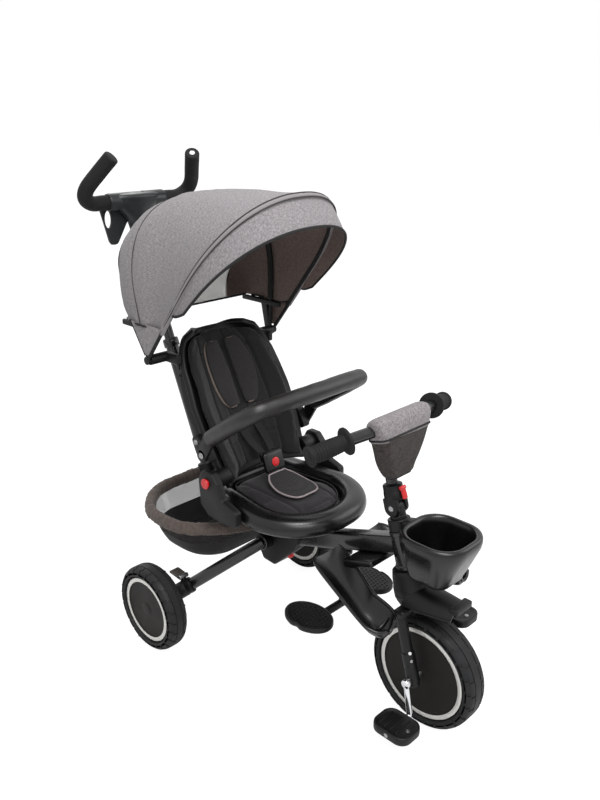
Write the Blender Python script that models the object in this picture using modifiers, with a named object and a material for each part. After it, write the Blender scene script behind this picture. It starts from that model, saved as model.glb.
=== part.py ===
"""Folding toddler tricycle: a push-along tricycle with a turning seat, canopy and guard bar.

The model is in metres with +Z up. The front wheel points along -Y and the rider's left is +X.
Pieces are placed in a working frame whose origin lies on the ground under the rear axle. The
whole tricycle is then moved back by REAR_AXLE_Y, so that the ground point under the middle of
the tricycle is the origin.
"""

import math

import bmesh
import bpy
from mathutils import Matrix, Vector

# General values
GAP = 0.0003
MERGE = 0.00005
REAR_AXLE_Y = 0.1725
OVERLAP = 0.004

# Wheels
WHEELBASE = 0.583
FRONT_WHEEL_RADIUS = 0.120
FRONT_TYRE_WIDTH = 0.0572
FRONT_RIM_RADIUS = 0.1000
FRONT_RING_RADIUS = 0.0974
REAR_WHEEL_RADIUS = 0.0995
REAR_TYRE_WIDTH = 0.0508
REAR_RIM_RADIUS = 0.0790
REAR_RING_RADIUS = 0.0754
REAR_TRACK = 0.486
RING_WIDTH = 0.0055
AXLE_RADIUS = 0.006

# Steering
STEER_TILT = math.radians(16.4)
SHAFT_RADIUS = 0.014
COLUMN_RADIUS = 0.016
COLLAR_RADIUS = 0.036
FORK_LEG_OFFSET = 0.046
FORK_LEG_RADIUS = 0.011
FORK_SLEEVE_RADIUS = 0.0132
CROWN_BASE = 0.136
COLLAR_BASE = 0.165
HEAD_TUBE_BASE = 0.2138
HEAD_TUBE_TOP = 0.292
HEAD_TUBE_RADIUS = 0.022
COLUMN_TOP = 0.3225
TRAY_CLAMP_HEIGHT = 0.023
KNUCKLE_PIVOT = 0.339
KNUCKLE_RADIUS = 0.014
TONGUE_WIDTH = 0.018

# Handlebar
STEM_RADIUS = 0.0115
STEM_SOCKET_RADIUS = 0.0195
STEM_SOCKET_TOP = 0.386
BAR_HEIGHT = 0.508
BAR_FORWARD = 0.045
GRIP_START = Vector((0.125, -0.027, 0.5067))
GRIP_END = Vector((0.202, 0.0004, 0.498))
GRIP_RADIUS = 0.0165
GRIP_FLANGE_RADIUS = 0.026

# Main beam and hub
BEAM_TILT = math.radians(18.9)
BEAM_TOP = Vector((0.0, -0.347, 0.337))
BEAM_WIDTH = 0.034
BEAM_HEIGHT = 0.038
BEAM_REAR_Y = -0.212
HUB_WIDTH = 0.048
HUB_REAR_Y = -0.115
SEAT_AXIS_Y = -0.170
TURNTABLE_RADIUS = 0.046
TURNTABLE_TOP = 0.322
BARREL_PLACE = Vector((0.0, -0.150, 0.245))
BARREL_RADIUS = 0.018

# Rear legs
LEG_RADIUS = 0.014
SLEEVE_RADIUS = 0.0185
SLEEVE_LENGTH = 0.062

# Push handle
PUSH_BASE = Vector((0.0, 0.055, 0.262))
PUSH_LEAN = math.radians(23.3)
PUSH_SOCKET_RADIUS = 0.0205
PUSH_SOCKET_LENGTH = 0.098
PUSH_TUBE_RADIUS = 0.0155
PUSH_INNER_RADIUS = 0.0122
PUSH_LOWER_TOP = 0.400
PUSH_TUBE_END = 0.706
HORN_PLACE = Vector((0.0, 0.325, 0.957))
HORN_BEND = Vector((0.1524, 0.316, 0.9625))
HORN_TIP = Vector((0.110, 0.242, 1.064))
HORN_RADIUS = 0.0172

# Basket
BASKET_HALF_WIDTH = 0.197
BASKET_REAR_Y = 0.150
BASKET_FRONT_Y = -0.127
BASKET_RIM_HEIGHT = 0.300
BASKET_RIM_RADIUS = 0.012
BASKET_FLOOR = 0.178
BASKET_WALL = 0.0025

# Calf rest and foot rest
FOOT_PIVOT = Vector((0.0, -0.360, 0.288))
FOOT_BAR_HEIGHT = 0.168
PEG_CENTRE = Vector((0.098, -0.350, 0.168))
PEG_LENGTH = 0.100
PEG_WIDTH = 0.072
PEG_THICKNESS = 0.013

# Seat
SEAT_HALF_WIDTH = 0.150
SEAT_FRONT_Y = -0.365
SEAT_REAR_Y = -0.045
SEAT_CORNER = 0.090
SEAT_UNDERSIDE = 0.338
SEAT_RIM = 0.385
SEAT_FLOOR = 0.354
HINGE_Y = -0.116
HINGE_Z = 0.423
EAR_RADIUS = 0.0195
BRACKET_THICKNESS = 0.018

# Backrest
BACK_THICKNESS = 0.012
BACK_PAD_THICKNESS = 0.014
GUARD_PIVOT = Vector((0.1523, -0.090, 0.475))
GUARD_BAR_RADIUS = 0.0185
GUARD_HEIGHT = 0.622

# Canopy
CANOPY_PIVOT = Vector((0.1835, 0.048, 0.660))
CANOPY_HALF_WIDTH = 0.182
CANOPY_EDGE_Z = 0.735
CANOPY_CLOTH = 0.003
STRAP_Y = 0.133
BOW_LENGTH = 0.442
BOW_LEAN = math.radians(38.0)
BOW_RADIUS = 0.004
VISOR_LENGTH = 0.427
VISOR_LEAN = math.radians(46.5)

# Finishes: colour, roughness, metallic
SATIN_BLACK = ((0.012, 0.012, 0.013), 0.45, 0.0)
GLOSS_BLACK = ((0.010, 0.010, 0.011), 0.18, 0.0)
TUBE_PAINT = ((0.014, 0.014, 0.015), 0.30, 0.0)
RUBBER = ((0.014, 0.014, 0.014), 0.75, 0.0)
RED_PLASTIC = ((0.55, 0.015, 0.02), 0.35, 0.0)
CHROME = ((0.75, 0.75, 0.76), 0.12, 1.0)
LIGHT_GREY = ((0.45, 0.45, 0.46), 0.50, 0.0)
CANOPY_CLOTH_GREY = ((0.30, 0.28, 0.28), 0.90, 0.0)
DARK_CLOTH = ((0.020, 0.019, 0.020), 0.90, 0.0)
PAD_CLOTH = ((0.050, 0.044, 0.046), 0.90, 0.0)
RIM_CLOTH = ((0.065, 0.055, 0.052), 0.90, 0.0)
HUB_GREY = ((0.045, 0.048, 0.050), 0.35, 0.0)


def clear_scene():
    for thing in list(bpy.data.objects):
        bpy.data.objects.remove(thing)


def new_collection(name):
    collection = bpy.data.collections.new(name)
    bpy.context.scene.collection.children.link(collection)
    return collection


clear_scene()
PARTS = new_collection("folding_toddler_tricycle")
CUTTERS = new_collection("tricycle_cutters")


def add_object(name, mesh):
    """Link a new mesh object as a part."""
    piece = bpy.data.objects.new(name, mesh)
    PARTS.objects.link(piece)
    return piece


def as_cutter(piece):
    """Move a shape to the cutters, where it is only an outline."""
    PARTS.objects.unlink(piece)
    CUTTERS.objects.link(piece)
    piece.hide_render = True
    piece.display_type = "WIRE"
    return piece


def from_bmesh(name, work):
    mesh = bpy.data.meshes.new(name)
    work.to_mesh(mesh)
    work.free()
    return add_object(name, mesh)


def settled(piece):
    """Give a piece its evaluated mesh, with a curve's loose caps welded to its sides."""
    bpy.context.view_layer.update()
    evaluated = piece.evaluated_get(bpy.context.evaluated_depsgraph_get())
    mesh = bpy.data.meshes.new_from_object(evaluated)
    work = bmesh.new()
    work.from_mesh(mesh)
    bmesh.ops.remove_doubles(work, verts=work.verts, dist=MERGE)
    bmesh.ops.recalc_face_normals(work, faces=work.faces)
    work.to_mesh(mesh)
    work.free()
    name = piece.name
    place = piece.matrix_world.copy()
    bpy.data.objects.remove(piece)
    result = add_object(name, mesh)
    result.matrix_world = place
    return result


def combined(base, tools, operation):
    """Apply one exact Boolean for each tool, and drop the tools."""
    for tool in tools:
        as_cutter(tool)
        modifier = base.modifiers.new(operation.lower(), "BOOLEAN")
        modifier.operation = operation
        modifier.solver = "EXACT"
        modifier.object = tool
    result = settled(base)
    for tool in tools:
        bpy.data.objects.remove(tool)
    return result


def joined(base, *tools):
    return combined(base, tools, "UNION")


def cut(base, *tools):
    return combined(base, tools, "DIFFERENCE")


def rounded(piece, width, segments=1, angle=30.0):
    """Round a piece's edges that are sharper than an angle."""
    bevel = piece.modifiers.new("round", "BEVEL")
    bevel.width = width
    bevel.segments = segments
    bevel.limit_method = "ANGLE"
    bevel.angle_limit = math.radians(angle)
    return piece


def block(name, size, place, turn=0.0, edge=0.0, segments=1):
    """A box turned about X, with rounded edges."""
    work = bmesh.new()
    bmesh.ops.create_cube(work, size=1.0)
    bmesh.ops.scale(work, vec=size, verts=work.verts)
    piece = from_bmesh(name, work)
    piece.location = place
    piece.rotation_euler.x = turn
    if edge:
        rounded(piece, edge, segments)
    return piece


def rod(name, start, end, radius, end_radius=None, sides=16):
    """A cylinder or cone from one point to another."""
    start = Vector(start)
    end = Vector(end)
    direction = end - start
    work = bmesh.new()
    bmesh.ops.create_cone(
        work, cap_ends=True, segments=sides, radius1=radius,
        radius2=radius if end_radius is None else end_radius, depth=direction.length,
    )
    piece = from_bmesh(name, work)
    piece.matrix_world = (
        Matrix.Translation((start + end) / 2) @ direction.to_track_quat("Z", "Y").to_matrix().to_4x4()
    )
    return piece


def turned(name, profile, place=(0.0, 0.0, 0.0), direction=(0.0, 0.0, 1.0), sides=24, ring=False):
    """Turn a profile of radius and height about its own axis, which points along a direction."""
    mesh = bpy.data.meshes.new(name)
    count = len(profile)
    edges = [(i, i + 1) for i in range(count - 1)]
    if ring:
        edges.append((count - 1, 0))
    mesh.from_pydata([(radius, 0.0, height) for radius, height in profile], edges, [])
    piece = add_object(name, mesh)
    screw = piece.modifiers.new("turn", "SCREW")
    screw.steps = sides
    screw.render_steps = sides
    screw.use_merge_vertices = True
    screw.merge_threshold = MERGE
    turn = Vector(direction).to_track_quat("Z", "Y").to_matrix().to_4x4()
    piece.matrix_world = Matrix.Translation(place) @ turn
    return settled(piece)


def arc_path(corners, bend, steps=5):
    """The points of a path whose inner corners are arcs of one bend radius."""
    corners = [Vector(corner) for corner in corners]
    path = [corners[0]]
    for before, corner, after in zip(corners, corners[1:], corners[2:]):
        inward = (before - corner).normalized()
        outward = (after - corner).normalized()
        half = inward.angle(outward) / 2
        reach = min(bend / math.tan(half), (before - corner).length * 0.45, (after - corner).length * 0.45)
        radius = reach * math.tan(half)
        centre = corner + (inward + outward).normalized() * (radius / math.sin(half))
        first = corner + inward * reach - centre
        last = corner + outward * reach - centre
        sweep = first.angle(last)
        for step in range(steps + 1):
            share = step / steps
            blend = (first * math.sin((1 - share) * sweep) + last * math.sin(share * sweep)) / math.sin(sweep)
            path.append(centre + blend)
    path.append(corners[-1])
    return path


def smooth_path(corners, steps=4):
    """The points of a smooth curve that passes through every corner."""
    corners = [Vector(corner) for corner in corners]
    padded = [corners[0] * 2 - corners[1], *corners, corners[-1] * 2 - corners[-2]]
    path = []
    for before, start, end, after in zip(padded, padded[1:], padded[2:], padded[3:]):
        for step in range(steps):
            t = step / steps
            path.append(0.5 * (
                2 * start + (end - before) * t + (2 * before - 5 * start + 4 * end - after) * t ** 2
                + (3 * start - before - 3 * end + after) * t ** 3
            ))
    path.append(corners[-1])
    return path


def tube(name, path, radius, resolution=3):
    """A round tube along a path, as a mesh with welded caps."""
    curve = bpy.data.curves.new(name, "CURVE")
    curve.dimensions = "3D"
    curve.bevel_depth = radius
    curve.bevel_resolution = resolution
    curve.use_fill_caps = True
    spline = curve.splines.new("POLY")
    spline.points.add(len(path) - 1)
    for point, place in zip(spline.points, path):
        point.co = (*place, 1.0)
    piece = bpy.data.objects.new(name, curve)
    PARTS.objects.link(piece)
    return settled(piece)


def plate(name, outline, thickness, place=(0.0, 0.0, 0.0), upright=True):
    """A flat outline with a thickness. Upright, its two numbers are Y and Z, otherwise X and Y."""
    curve = bpy.data.curves.new(name, "CURVE")
    curve.dimensions = "2D"
    curve.fill_mode = "BOTH"
    curve.extrude = thickness / 2
    spline = curve.splines.new("POLY")
    spline.points.add(len(outline) - 1)
    for point, (across, along) in zip(spline.points, outline):
        point.co = (across, along, 0.0, 1.0)
    spline.use_cyclic_u = True
    piece = bpy.data.objects.new(name, curve)
    PARTS.objects.link(piece)
    piece.location = place
    if upright:
        piece.rotation_euler = (math.pi / 2, 0.0, math.pi / 2)
    return settled(piece)


def softened(outline, radius, steps=2):
    """An outline with every corner drawn as an arc."""
    count = len(outline)
    result = []
    for index in range(count):
        corner = Vector(outline[index])
        inward = Vector(outline[index - 1]) - corner
        outward = Vector(outline[(index + 1) % count]) - corner
        half = inward.angle(outward) / 2
        reach = min(radius / math.tan(half), inward.length * 0.48, outward.length * 0.48)
        bend = reach * math.tan(half)
        inward.normalize()
        outward.normalize()
        centre = corner + (inward + outward).normalized() * (bend / math.sin(half))
        first = corner + inward * reach - centre
        last = corner + outward * reach - centre
        sweep = first.angle(last)
        for step in range(steps + 1):
            share = step / steps
            blend = (first * math.sin((1 - share) * sweep) + last * math.sin(share * sweep)) / math.sin(sweep)
            result.append(tuple(centre + blend))
    return result


def rectangle(half, front, rear):
    return [(-half, front), (half, front), (half, rear), (-half, rear)]


def oval(half_x, half_y, count=24):
    return [
        (half_x * math.cos(2 * math.pi * i / count), half_y * math.sin(2 * math.pi * i / count))
        for i in range(count)
    ]


def loft(name, rings):
    """Join rings that have the same number of points, and close both ends."""
    work = bmesh.new()
    rows = [[work.verts.new(point) for point in ring] for ring in rings]
    count = len(rows[0])
    for lower, upper in zip(rows, rows[1:]):
        for i in range(count):
            j = (i + 1) % count
            work.faces.new((lower[i], lower[j], upper[j], upper[i]))
    work.faces.new(rows[0][::-1])
    work.faces.new(rows[-1])
    bmesh.ops.recalc_face_normals(work, faces=work.faces)
    return from_bmesh(name, work)


def sheet(name, rows, thickness, side=1.0):
    """A curved sheet through rows of points, thickened on one side."""
    work = bmesh.new()
    grid = [[work.verts.new(point) for point in row] for row in rows]
    for lower, upper in zip(grid, grid[1:]):
        for i in range(len(lower) - 1):
            work.faces.new((lower[i], lower[i + 1], upper[i + 1], upper[i]))
    piece = from_bmesh(name, work)
    wall = piece.modifiers.new("wall", "SOLIDIFY")
    wall.thickness = thickness
    wall.offset = side
    wall.use_even_offset = True
    return settled(piece)


def mirrored_name(base, sign):
    return base + ("_left" if sign > 0 else "_right")


def mirrored_point(point, sign):
    return Vector((point[0] * sign, point[1], point[2]))


def finished(piece, finish):
    """Give a piece its own material, and smooth shading across gentle edges."""
    colour, roughness, metallic = finish
    material = bpy.data.materials.new(piece.name + "_finish")
    material.use_nodes = True
    shader = material.node_tree.nodes["Principled BSDF"]
    shader.inputs["Base Color"].default_value = (*colour, 1.0)
    shader.inputs["Roughness"].default_value = roughness
    shader.inputs["Metallic"].default_value = metallic
    piece.data.materials.clear()
    piece.data.materials.append(material)
    if piece.type == "MESH" and not piece.modifiers:
        piece.data.shade_smooth()
        piece.data.set_sharp_from_angle(angle=math.radians(35.0))
    return piece


def axis_empty(name, place, parent=None, tilt=0.0):
    """An empty on a joint's axis, which carries what the joint moves."""
    holder = bpy.data.objects.new(name, None)
    PARTS.objects.link(holder)
    holder.location = place
    holder.rotation_euler.x = tilt
    if parent:
        bpy.context.view_layer.update()
        holder.parent = parent
        holder.matrix_parent_inverse = parent.matrix_world.inverted()
    return holder


def carried(piece, holder):
    """Parent a piece to an empty and keep its place."""
    bpy.context.view_layer.update()
    piece.parent = holder
    piece.matrix_parent_inverse = holder.matrix_world.inverted()
    return piece


# Frames and reference points
FRONT_AXLE = Vector((0.0, -WHEELBASE, FRONT_WHEEL_RADIUS))
STEERING = Matrix.Translation(FRONT_AXLE) @ Matrix.Rotation(-STEER_TILT, 4, "X")


def steered(x, y, z):
    """A point of the steering frame, whose Z runs up the steering axis from the front axle."""
    return STEERING @ Vector((x, y, z))


def into_steering(piece):
    """Turn a piece that was made upright at the front axle into the raked steering frame."""
    bpy.context.view_layer.update()
    piece.matrix_world = STEERING @ piece.matrix_world
    return piece


def beam_top_at(y):
    return BEAM_TOP.z + (BEAM_TOP.y - y) * math.tan(BEAM_TILT)


def beam_middle_at(y):
    """The point of the beam's centre line whose Y is given."""
    return Vector((0.0, y, beam_top_at(y) - BEAM_HEIGHT / 2 / math.cos(BEAM_TILT)))


def beam_bottom_at(y):
    return beam_top_at(y) - BEAM_HEIGHT / math.cos(BEAM_TILT)


def along_push(distance, x=0.0, behind=0.0):
    """A point of the push handle's frame, whose Z runs up its leaning tube."""
    up = Vector((0.0, math.sin(PUSH_LEAN), math.cos(PUSH_LEAN)))
    back = Vector((0.0, math.cos(PUSH_LEAN), -math.sin(PUSH_LEAN)))
    return PUSH_BASE + up * distance + back * behind + Vector((x, 0.0, 0.0))


# Frame

def make_beam_shape(name, clearance=0.0, rear_y=BEAM_REAR_Y):
    """The beam's rectangular bar, from its rear end to the head tube."""
    rear = beam_middle_at(rear_y)
    front = beam_middle_at(steered(0.0, 0.0, (HEAD_TUBE_BASE + HEAD_TUBE_TOP) / 2).y)
    size = (
        BEAM_WIDTH + 2 * clearance, (front - rear).length + 2 * clearance, BEAM_HEIGHT + 2 * clearance,
    )
    return block(name, size, (front + rear) / 2, -BEAM_TILT, 0.005 + clearance)


def make_foot_lugs():
    """Two ears under the beam that take the foot rest's hinge."""
    ears = []
    top = beam_bottom_at(FOOT_PIVOT.y) + OVERLAP
    for sign in (-1.0, 1.0):
        inner = 0.0085
        outer = 0.0135
        eye = rod("ear", (sign * inner, *FOOT_PIVOT.yz), (sign * outer, *FOOT_PIVOT.yz), 0.010, sides=12)
        web = block(
            "ear_web", (outer - inner, 0.0198, top - FOOT_PIVOT.z),
            (sign * (inner + outer) / 2, FOOT_PIVOT.y, (top + FOOT_PIVOT.z) / 2),
        )
        ears += [eye, web]
    return ears


def make_main_beam():
    """The sloping bar with the head tube that the steering column turns in."""
    head = rod(
        "head", steered(0, 0, HEAD_TUBE_BASE), steered(0, 0, HEAD_TUBE_TOP), HEAD_TUBE_RADIUS, sides=20,
    )
    beam = joined(make_beam_shape("main_beam"), head, *make_foot_lugs())
    bore = rod(
        "bore", steered(0, 0, HEAD_TUBE_BASE - 0.01), steered(0, 0, HEAD_TUBE_TOP + 0.01),
        SHAFT_RADIUS + GAP, sides=20,
    )
    return finished(cut(beam, bore), TUBE_PAINT)


def hub_outline():
    """The hub housing from the side: a sloping nose under the seat and a folding latch below."""
    return softened([
        (-0.240, 0.312), (HUB_REAR_Y, 0.312), (HUB_REAR_Y, 0.215), (-0.132, 0.186),
        (-0.168, 0.184), (-0.226, 0.242), (-0.244, 0.280),
    ], 0.009)


FOLD_BUTTON_PLACE = Vector((0.0, -0.197, 0.213))
FOLD_BUTTON_DIRECTION = Vector((0.0, -math.sqrt(0.5), -math.sqrt(0.5)))
FOLD_BUTTON_RADIUS = 0.008


def make_centre_hub():
    """The casting that joins beam, rear legs, push socket and seat turntable."""
    housing = plate("centre_hub", hub_outline(), HUB_WIDTH)
    housing = settled(rounded(housing, 0.004, 1, 40.0))
    turntable = turned(
        "turntable",
        [(0.0, TURNTABLE_TOP), (TURNTABLE_RADIUS - 0.002, TURNTABLE_TOP),
         (TURNTABLE_RADIUS, TURNTABLE_TOP - 0.002), (TURNTABLE_RADIUS, TURNTABLE_TOP - 0.012),
         (0.030, TURNTABLE_TOP - 0.022), (0.0, TURNTABLE_TOP - 0.022)],
        place=(0.0, SEAT_AXIS_Y, 0.0), sides=20,
    )
    hub = joined(housing, turntable)
    beam_pocket = make_beam_shape("beam_pocket", GAP)
    bore = rod(
        "bore", (-HUB_WIDTH, *BARREL_PLACE.yz), (HUB_WIDTH, *BARREL_PLACE.yz), BARREL_RADIUS + GAP, sides=20,
    )
    button_bore = rod(
        "button_bore", FOLD_BUTTON_PLACE - FOLD_BUTTON_DIRECTION * 0.010,
        FOLD_BUTTON_PLACE + FOLD_BUTTON_DIRECTION * 0.020, FOLD_BUTTON_RADIUS + GAP, sides=16,
    )
    return finished(cut(hub, beam_pocket, bore, button_bore), SATIN_BLACK)


def make_fold_button():
    """The red button under the hub's nose that frees the rear legs."""
    out = FOLD_BUTTON_DIRECTION
    button = turned(
        "fold_button",
        [(0.0, 0.007), (0.005, 0.0065), (FOLD_BUTTON_RADIUS - 0.0005, 0.0045), (FOLD_BUTTON_RADIUS, 0.003),
         (FOLD_BUTTON_RADIUS, -0.005), (0.0, -0.005)],
        place=FOLD_BUTTON_PLACE, direction=out, sides=16,
    )
    return finished(button, RED_PLASTIC)


def make_push_socket():
    """The stay behind the hub and the leaning socket that holds the push handle."""
    front_y = HUB_REAR_Y + GAP
    rear_y = PUSH_BASE.y
    stay = block(
        "push_socket", (0.030, rear_y - front_y, 0.026),
        (0.0, (front_y + rear_y) / 2, PUSH_BASE.z + 0.013), edge=0.004,
    )
    socket = rod("socket", along_push(-0.012), along_push(PUSH_SOCKET_LENGTH), PUSH_SOCKET_RADIUS, sides=16)
    collar = rod(
        "collar", along_push(PUSH_SOCKET_LENGTH - 0.020), along_push(PUSH_SOCKET_LENGTH - 0.002),
        PUSH_SOCKET_RADIUS + 0.003, sides=16,
    )
    bore = rod(
        "bore", along_push(-GAP), along_push(PUSH_SOCKET_LENGTH + 0.01), PUSH_TUBE_RADIUS + GAP, sides=16,
    )
    return finished(cut(joined(stay, socket, collar), bore), SATIN_BLACK)


def calf_wing_rows(sign):
    """Cross sections of one calf rest, from its shoulder beside the beam to its toe."""
    rows = []
    lengthwise = 9
    crosswise = 8
    for i in range(lengthwise + 1):
        t = i / lengthwise
        y = -0.366 - 0.210 * t
        inner = 0.020 + 0.062 * min(1.0, t * 1.5)
        outer = 0.110 + 0.047 * min(1.0, t * 1.15)
        middle = (inner + outer) / 2
        half = (outer - inner) / 2
        end = abs(2 * t - 1)
        narrow = (1 - end ** 5) ** 0.5 if end < 1 else 0.0
        half *= 0.30 + 0.70 * narrow
        rim_inner = 0.322 - 0.040 * t
        rim_outer = 0.322 - 0.050 * t
        depth = 0.012 + 0.022 * min(1.0, 1.3 * t)
        depth *= 0.35 + 0.65 * narrow
        row = []
        for j in range(crosswise + 1):
            s = 2 * j / crosswise - 1
            rim = rim_inner + (rim_outer - rim_inner) * (s + 1) / 2
            row.append((sign * (middle + s * half), y, rim - depth * (1 - s * s)))
        rows.append(row)
    return rows


def thick_rings(rows, drop):
    """Rings of a wall that hangs straight down from each row by a given drop."""
    return [row + [(x, y, z - drop) for x, y, z in row[::-1]] for row in rows]


def make_leg_rest():
    """A saddle under the beam with a hollow calf wing at each side, and a raised stop at each toe."""
    saddle_y = -0.432
    saddle_place = beam_middle_at(saddle_y) + Vector((0.0, math.sin(BEAM_TILT), math.cos(BEAM_TILT))) * (
        -BEAM_HEIGHT / 2 - GAP - 0.007
    )
    saddle = block("leg_rest", (0.116, 0.078, 0.014), saddle_place, -BEAM_TILT, 0.004)
    wings = [loft("wing", thick_rings(calf_wing_rows(sign), 0.006)) for sign in (-1.0, 1.0)]
    return finished(joined(saddle, *wings), GLOSS_BLACK)


def basket_path():
    """The rim's centre line, from one side of the hub round the back to the other."""
    start = HUB_WIDTH / 2 + GAP
    low = BASKET_RIM_HEIGHT - 0.010
    high = BASKET_RIM_HEIGHT
    half = [
        (start, BASKET_FRONT_Y - 0.004, low), (0.060, BASKET_FRONT_Y - 0.004, low),
        (0.112, BASKET_FRONT_Y, high), (BASKET_HALF_WIDTH, -0.050, high),
        (BASKET_HALF_WIDTH, 0.070, high), (0.120, BASKET_REAR_Y, high),
    ]
    return arc_path(half + [(-x, y, z) for x, y, z in half[::-1]], 0.055, 3)


def make_basket_rim():
    return finished(tube("basket_rim", basket_path(), BASKET_RIM_RADIUS, 2), RIM_CLOTH)


def basket_ring(half_width, front, rear, height, corner):
    outline = rectangle(half_width, front, rear)
    return [(x, y, height) for x, y in softened(outline, corner, 4)]


def make_basket_bag():
    """The cloth bowl under the rim, notched where the push handle's stay comes through."""
    top = BASKET_RIM_HEIGHT - BASKET_RIM_RADIUS - GAP
    shape = [
        (0.105, -0.040, 0.105, BASKET_FLOOR, 0.050),
        (0.130, -0.055, 0.122, BASKET_FLOOR + 0.014, 0.060),
        (0.165, -0.080, 0.140, BASKET_FLOOR + 0.060, 0.065),
        (0.186, -0.104, 0.148, top, 0.070),
    ]
    outer = [basket_ring(*level) for level in shape]
    inner = [
        basket_ring(
            half - BASKET_WALL, front + BASKET_WALL, rear - BASKET_WALL, max(z, BASKET_FLOOR + BASKET_WALL),
            corner,
        )
        for half, front, rear, z, corner in shape[::-1]
    ]
    bag = loft("basket_bag", outer + inner)
    stay_slot = block("stay_slot", (0.034, 0.100, 0.060), (0.0, -0.080, PUSH_BASE.z + 0.026))
    return finished(cut(bag, stay_slot), DARK_CLOTH)


def make_push_tube_lower():
    tube_end = PUSH_LOWER_TOP
    lower = turned(
        "push_tube_lower",
        [(PUSH_TUBE_RADIUS, tube_end - 0.012), (PUSH_TUBE_RADIUS, 0.0), (PUSH_INNER_RADIUS + GAP, 0.0),
         (PUSH_INNER_RADIUS + GAP, tube_end + 0.010), (PUSH_TUBE_RADIUS + 0.0025, tube_end + 0.010),
         (PUSH_TUBE_RADIUS + 0.0035, tube_end + 0.006), (PUSH_TUBE_RADIUS + 0.0035, tube_end - 0.010)],
        place=PUSH_BASE, direction=along_push(1.0) - PUSH_BASE, sides=16, ring=True,
    )
    return finished(lower, TUBE_PAINT)


# Foot rest

def make_foot_rest():
    """A strut that hangs on the beam's ears and carries a cross bar with two oval pegs."""
    eye = rod("foot_rest", (-0.0082, *FOOT_PIVOT.yz), (0.0082, *FOOT_PIVOT.yz), 0.0098, sides=16)
    strut = block(
        "strut", (0.0164, 0.018, FOOT_PIVOT.z - FOOT_BAR_HEIGHT),
        (0.0, FOOT_PIVOT.y, (FOOT_PIVOT.z + FOOT_BAR_HEIGHT) / 2),
    )
    bar = rod(
        "bar", (-PEG_CENTRE.x, FOOT_PIVOT.y, FOOT_BAR_HEIGHT), (PEG_CENTRE.x, FOOT_PIVOT.y, FOOT_BAR_HEIGHT),
        0.0085, sides=12,
    )
    pegs = []
    for sign in (-1.0, 1.0):
        outline = oval(PEG_WIDTH / 2, PEG_LENGTH / 2, 28)
        place = mirrored_point(PEG_CENTRE, sign) + Vector((0, 0, 0.004))
        peg = plate("peg", outline, PEG_THICKNESS, place, False)
        pegs.append(settled(rounded(peg, 0.003)))
    return finished(joined(eye, strut, bar, *pegs), SATIN_BLACK)


# Rear frame

REAR_WHEEL_CENTRE = Vector((REAR_TRACK / 2, 0.0, REAR_WHEEL_RADIUS))
LEG_START = Vector((0.040, BARREL_PLACE.y, BARREL_PLACE.z))
LEG_END = Vector((REAR_WHEEL_CENTRE.x - 0.038, -0.010, REAR_WHEEL_CENTRE.z + 0.010))
LEG_DIRECTION = (LEG_END - LEG_START).normalized()
WHEEL_INNER_FACE = REAR_WHEEL_CENTRE.x - REAR_TYRE_WIDTH / 2


def make_rear_frame():
    """The pivot barrel in the hub and the two straight legs that run out to the wheels."""
    barrel = rod("rear_frame", (-0.047, *BARREL_PLACE.yz), (0.047, *BARREL_PLACE.yz), BARREL_RADIUS, sides=20)
    legs = [
        rod("leg", mirrored_point(LEG_START, sign), mirrored_point(LEG_END, sign), LEG_RADIUS, sides=16)
        for sign in (-1.0, 1.0)
    ]
    return finished(joined(barrel, *legs), TUBE_PAINT)


BRAKE_PIVOT = Vector((0.178, -0.030, 0.163))
BRAKE_PIN_RADIUS = 0.0045
BRAKE_PIN_LENGTH = 0.024
BRAKE_PEDAL_SIZE = (0.026, 0.044, 0.006)
BRAKE_SEAT_WIDTH = 0.010
BRAKE_SEAT_DEPTH = 0.014


def make_brake_seat(sign, clearance=0.0):
    """The lug on the sleeve that the brake lever is hinged on."""
    size = (BRAKE_SEAT_WIDTH + 2 * clearance, BRAKE_SEAT_DEPTH + 2 * clearance, 0.032)
    place = mirrored_point(BRAKE_PIVOT, sign) - Vector((0.0, 0.0, 0.0095 - clearance))
    return block("brake_seat", size, place)


def make_rear_sleeve(sign):
    """The plastic end of a leg, with the boss and stub that carry the wheel and the brake's lug."""
    start = mirrored_point(LEG_END - LEG_DIRECTION * SLEEVE_LENGTH, sign)
    end = mirrored_point(LEG_END + LEG_DIRECTION * 0.006, sign)
    centre = REAR_WHEEL_CENTRE
    sleeve = rod(mirrored_name("rear_sleeve", sign), start, end, SLEEVE_RADIUS, sides=16)
    boss = rod(
        "boss", (sign * (LEG_END.x - 0.020), *centre.yz), (sign * (WHEEL_INNER_FACE - 0.0012), *centre.yz),
        0.0205, sides=16,
    )
    stub = rod(
        "stub", (sign * (LEG_END.x - 0.010), *centre.yz), (sign * (centre.x + 0.010), *centre.yz),
        AXLE_RADIUS, sides=12,
    )
    bore = rod(
        "bore", mirrored_point(LEG_START, sign), mirrored_point(LEG_END + LEG_DIRECTION * GAP, sign),
        LEG_RADIUS + GAP, sides=16,
    )
    pivot = mirrored_point(BRAKE_PIVOT, sign)
    across = Vector((BRAKE_PIN_LENGTH, 0, 0))
    pin_bore = rod("pin_bore", pivot - across, pivot + across, BRAKE_PIN_RADIUS + GAP, sides=12)
    return finished(cut(joined(sleeve, boss, stub, make_brake_seat(sign)), bore, pin_bore), SATIN_BLACK)


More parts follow.
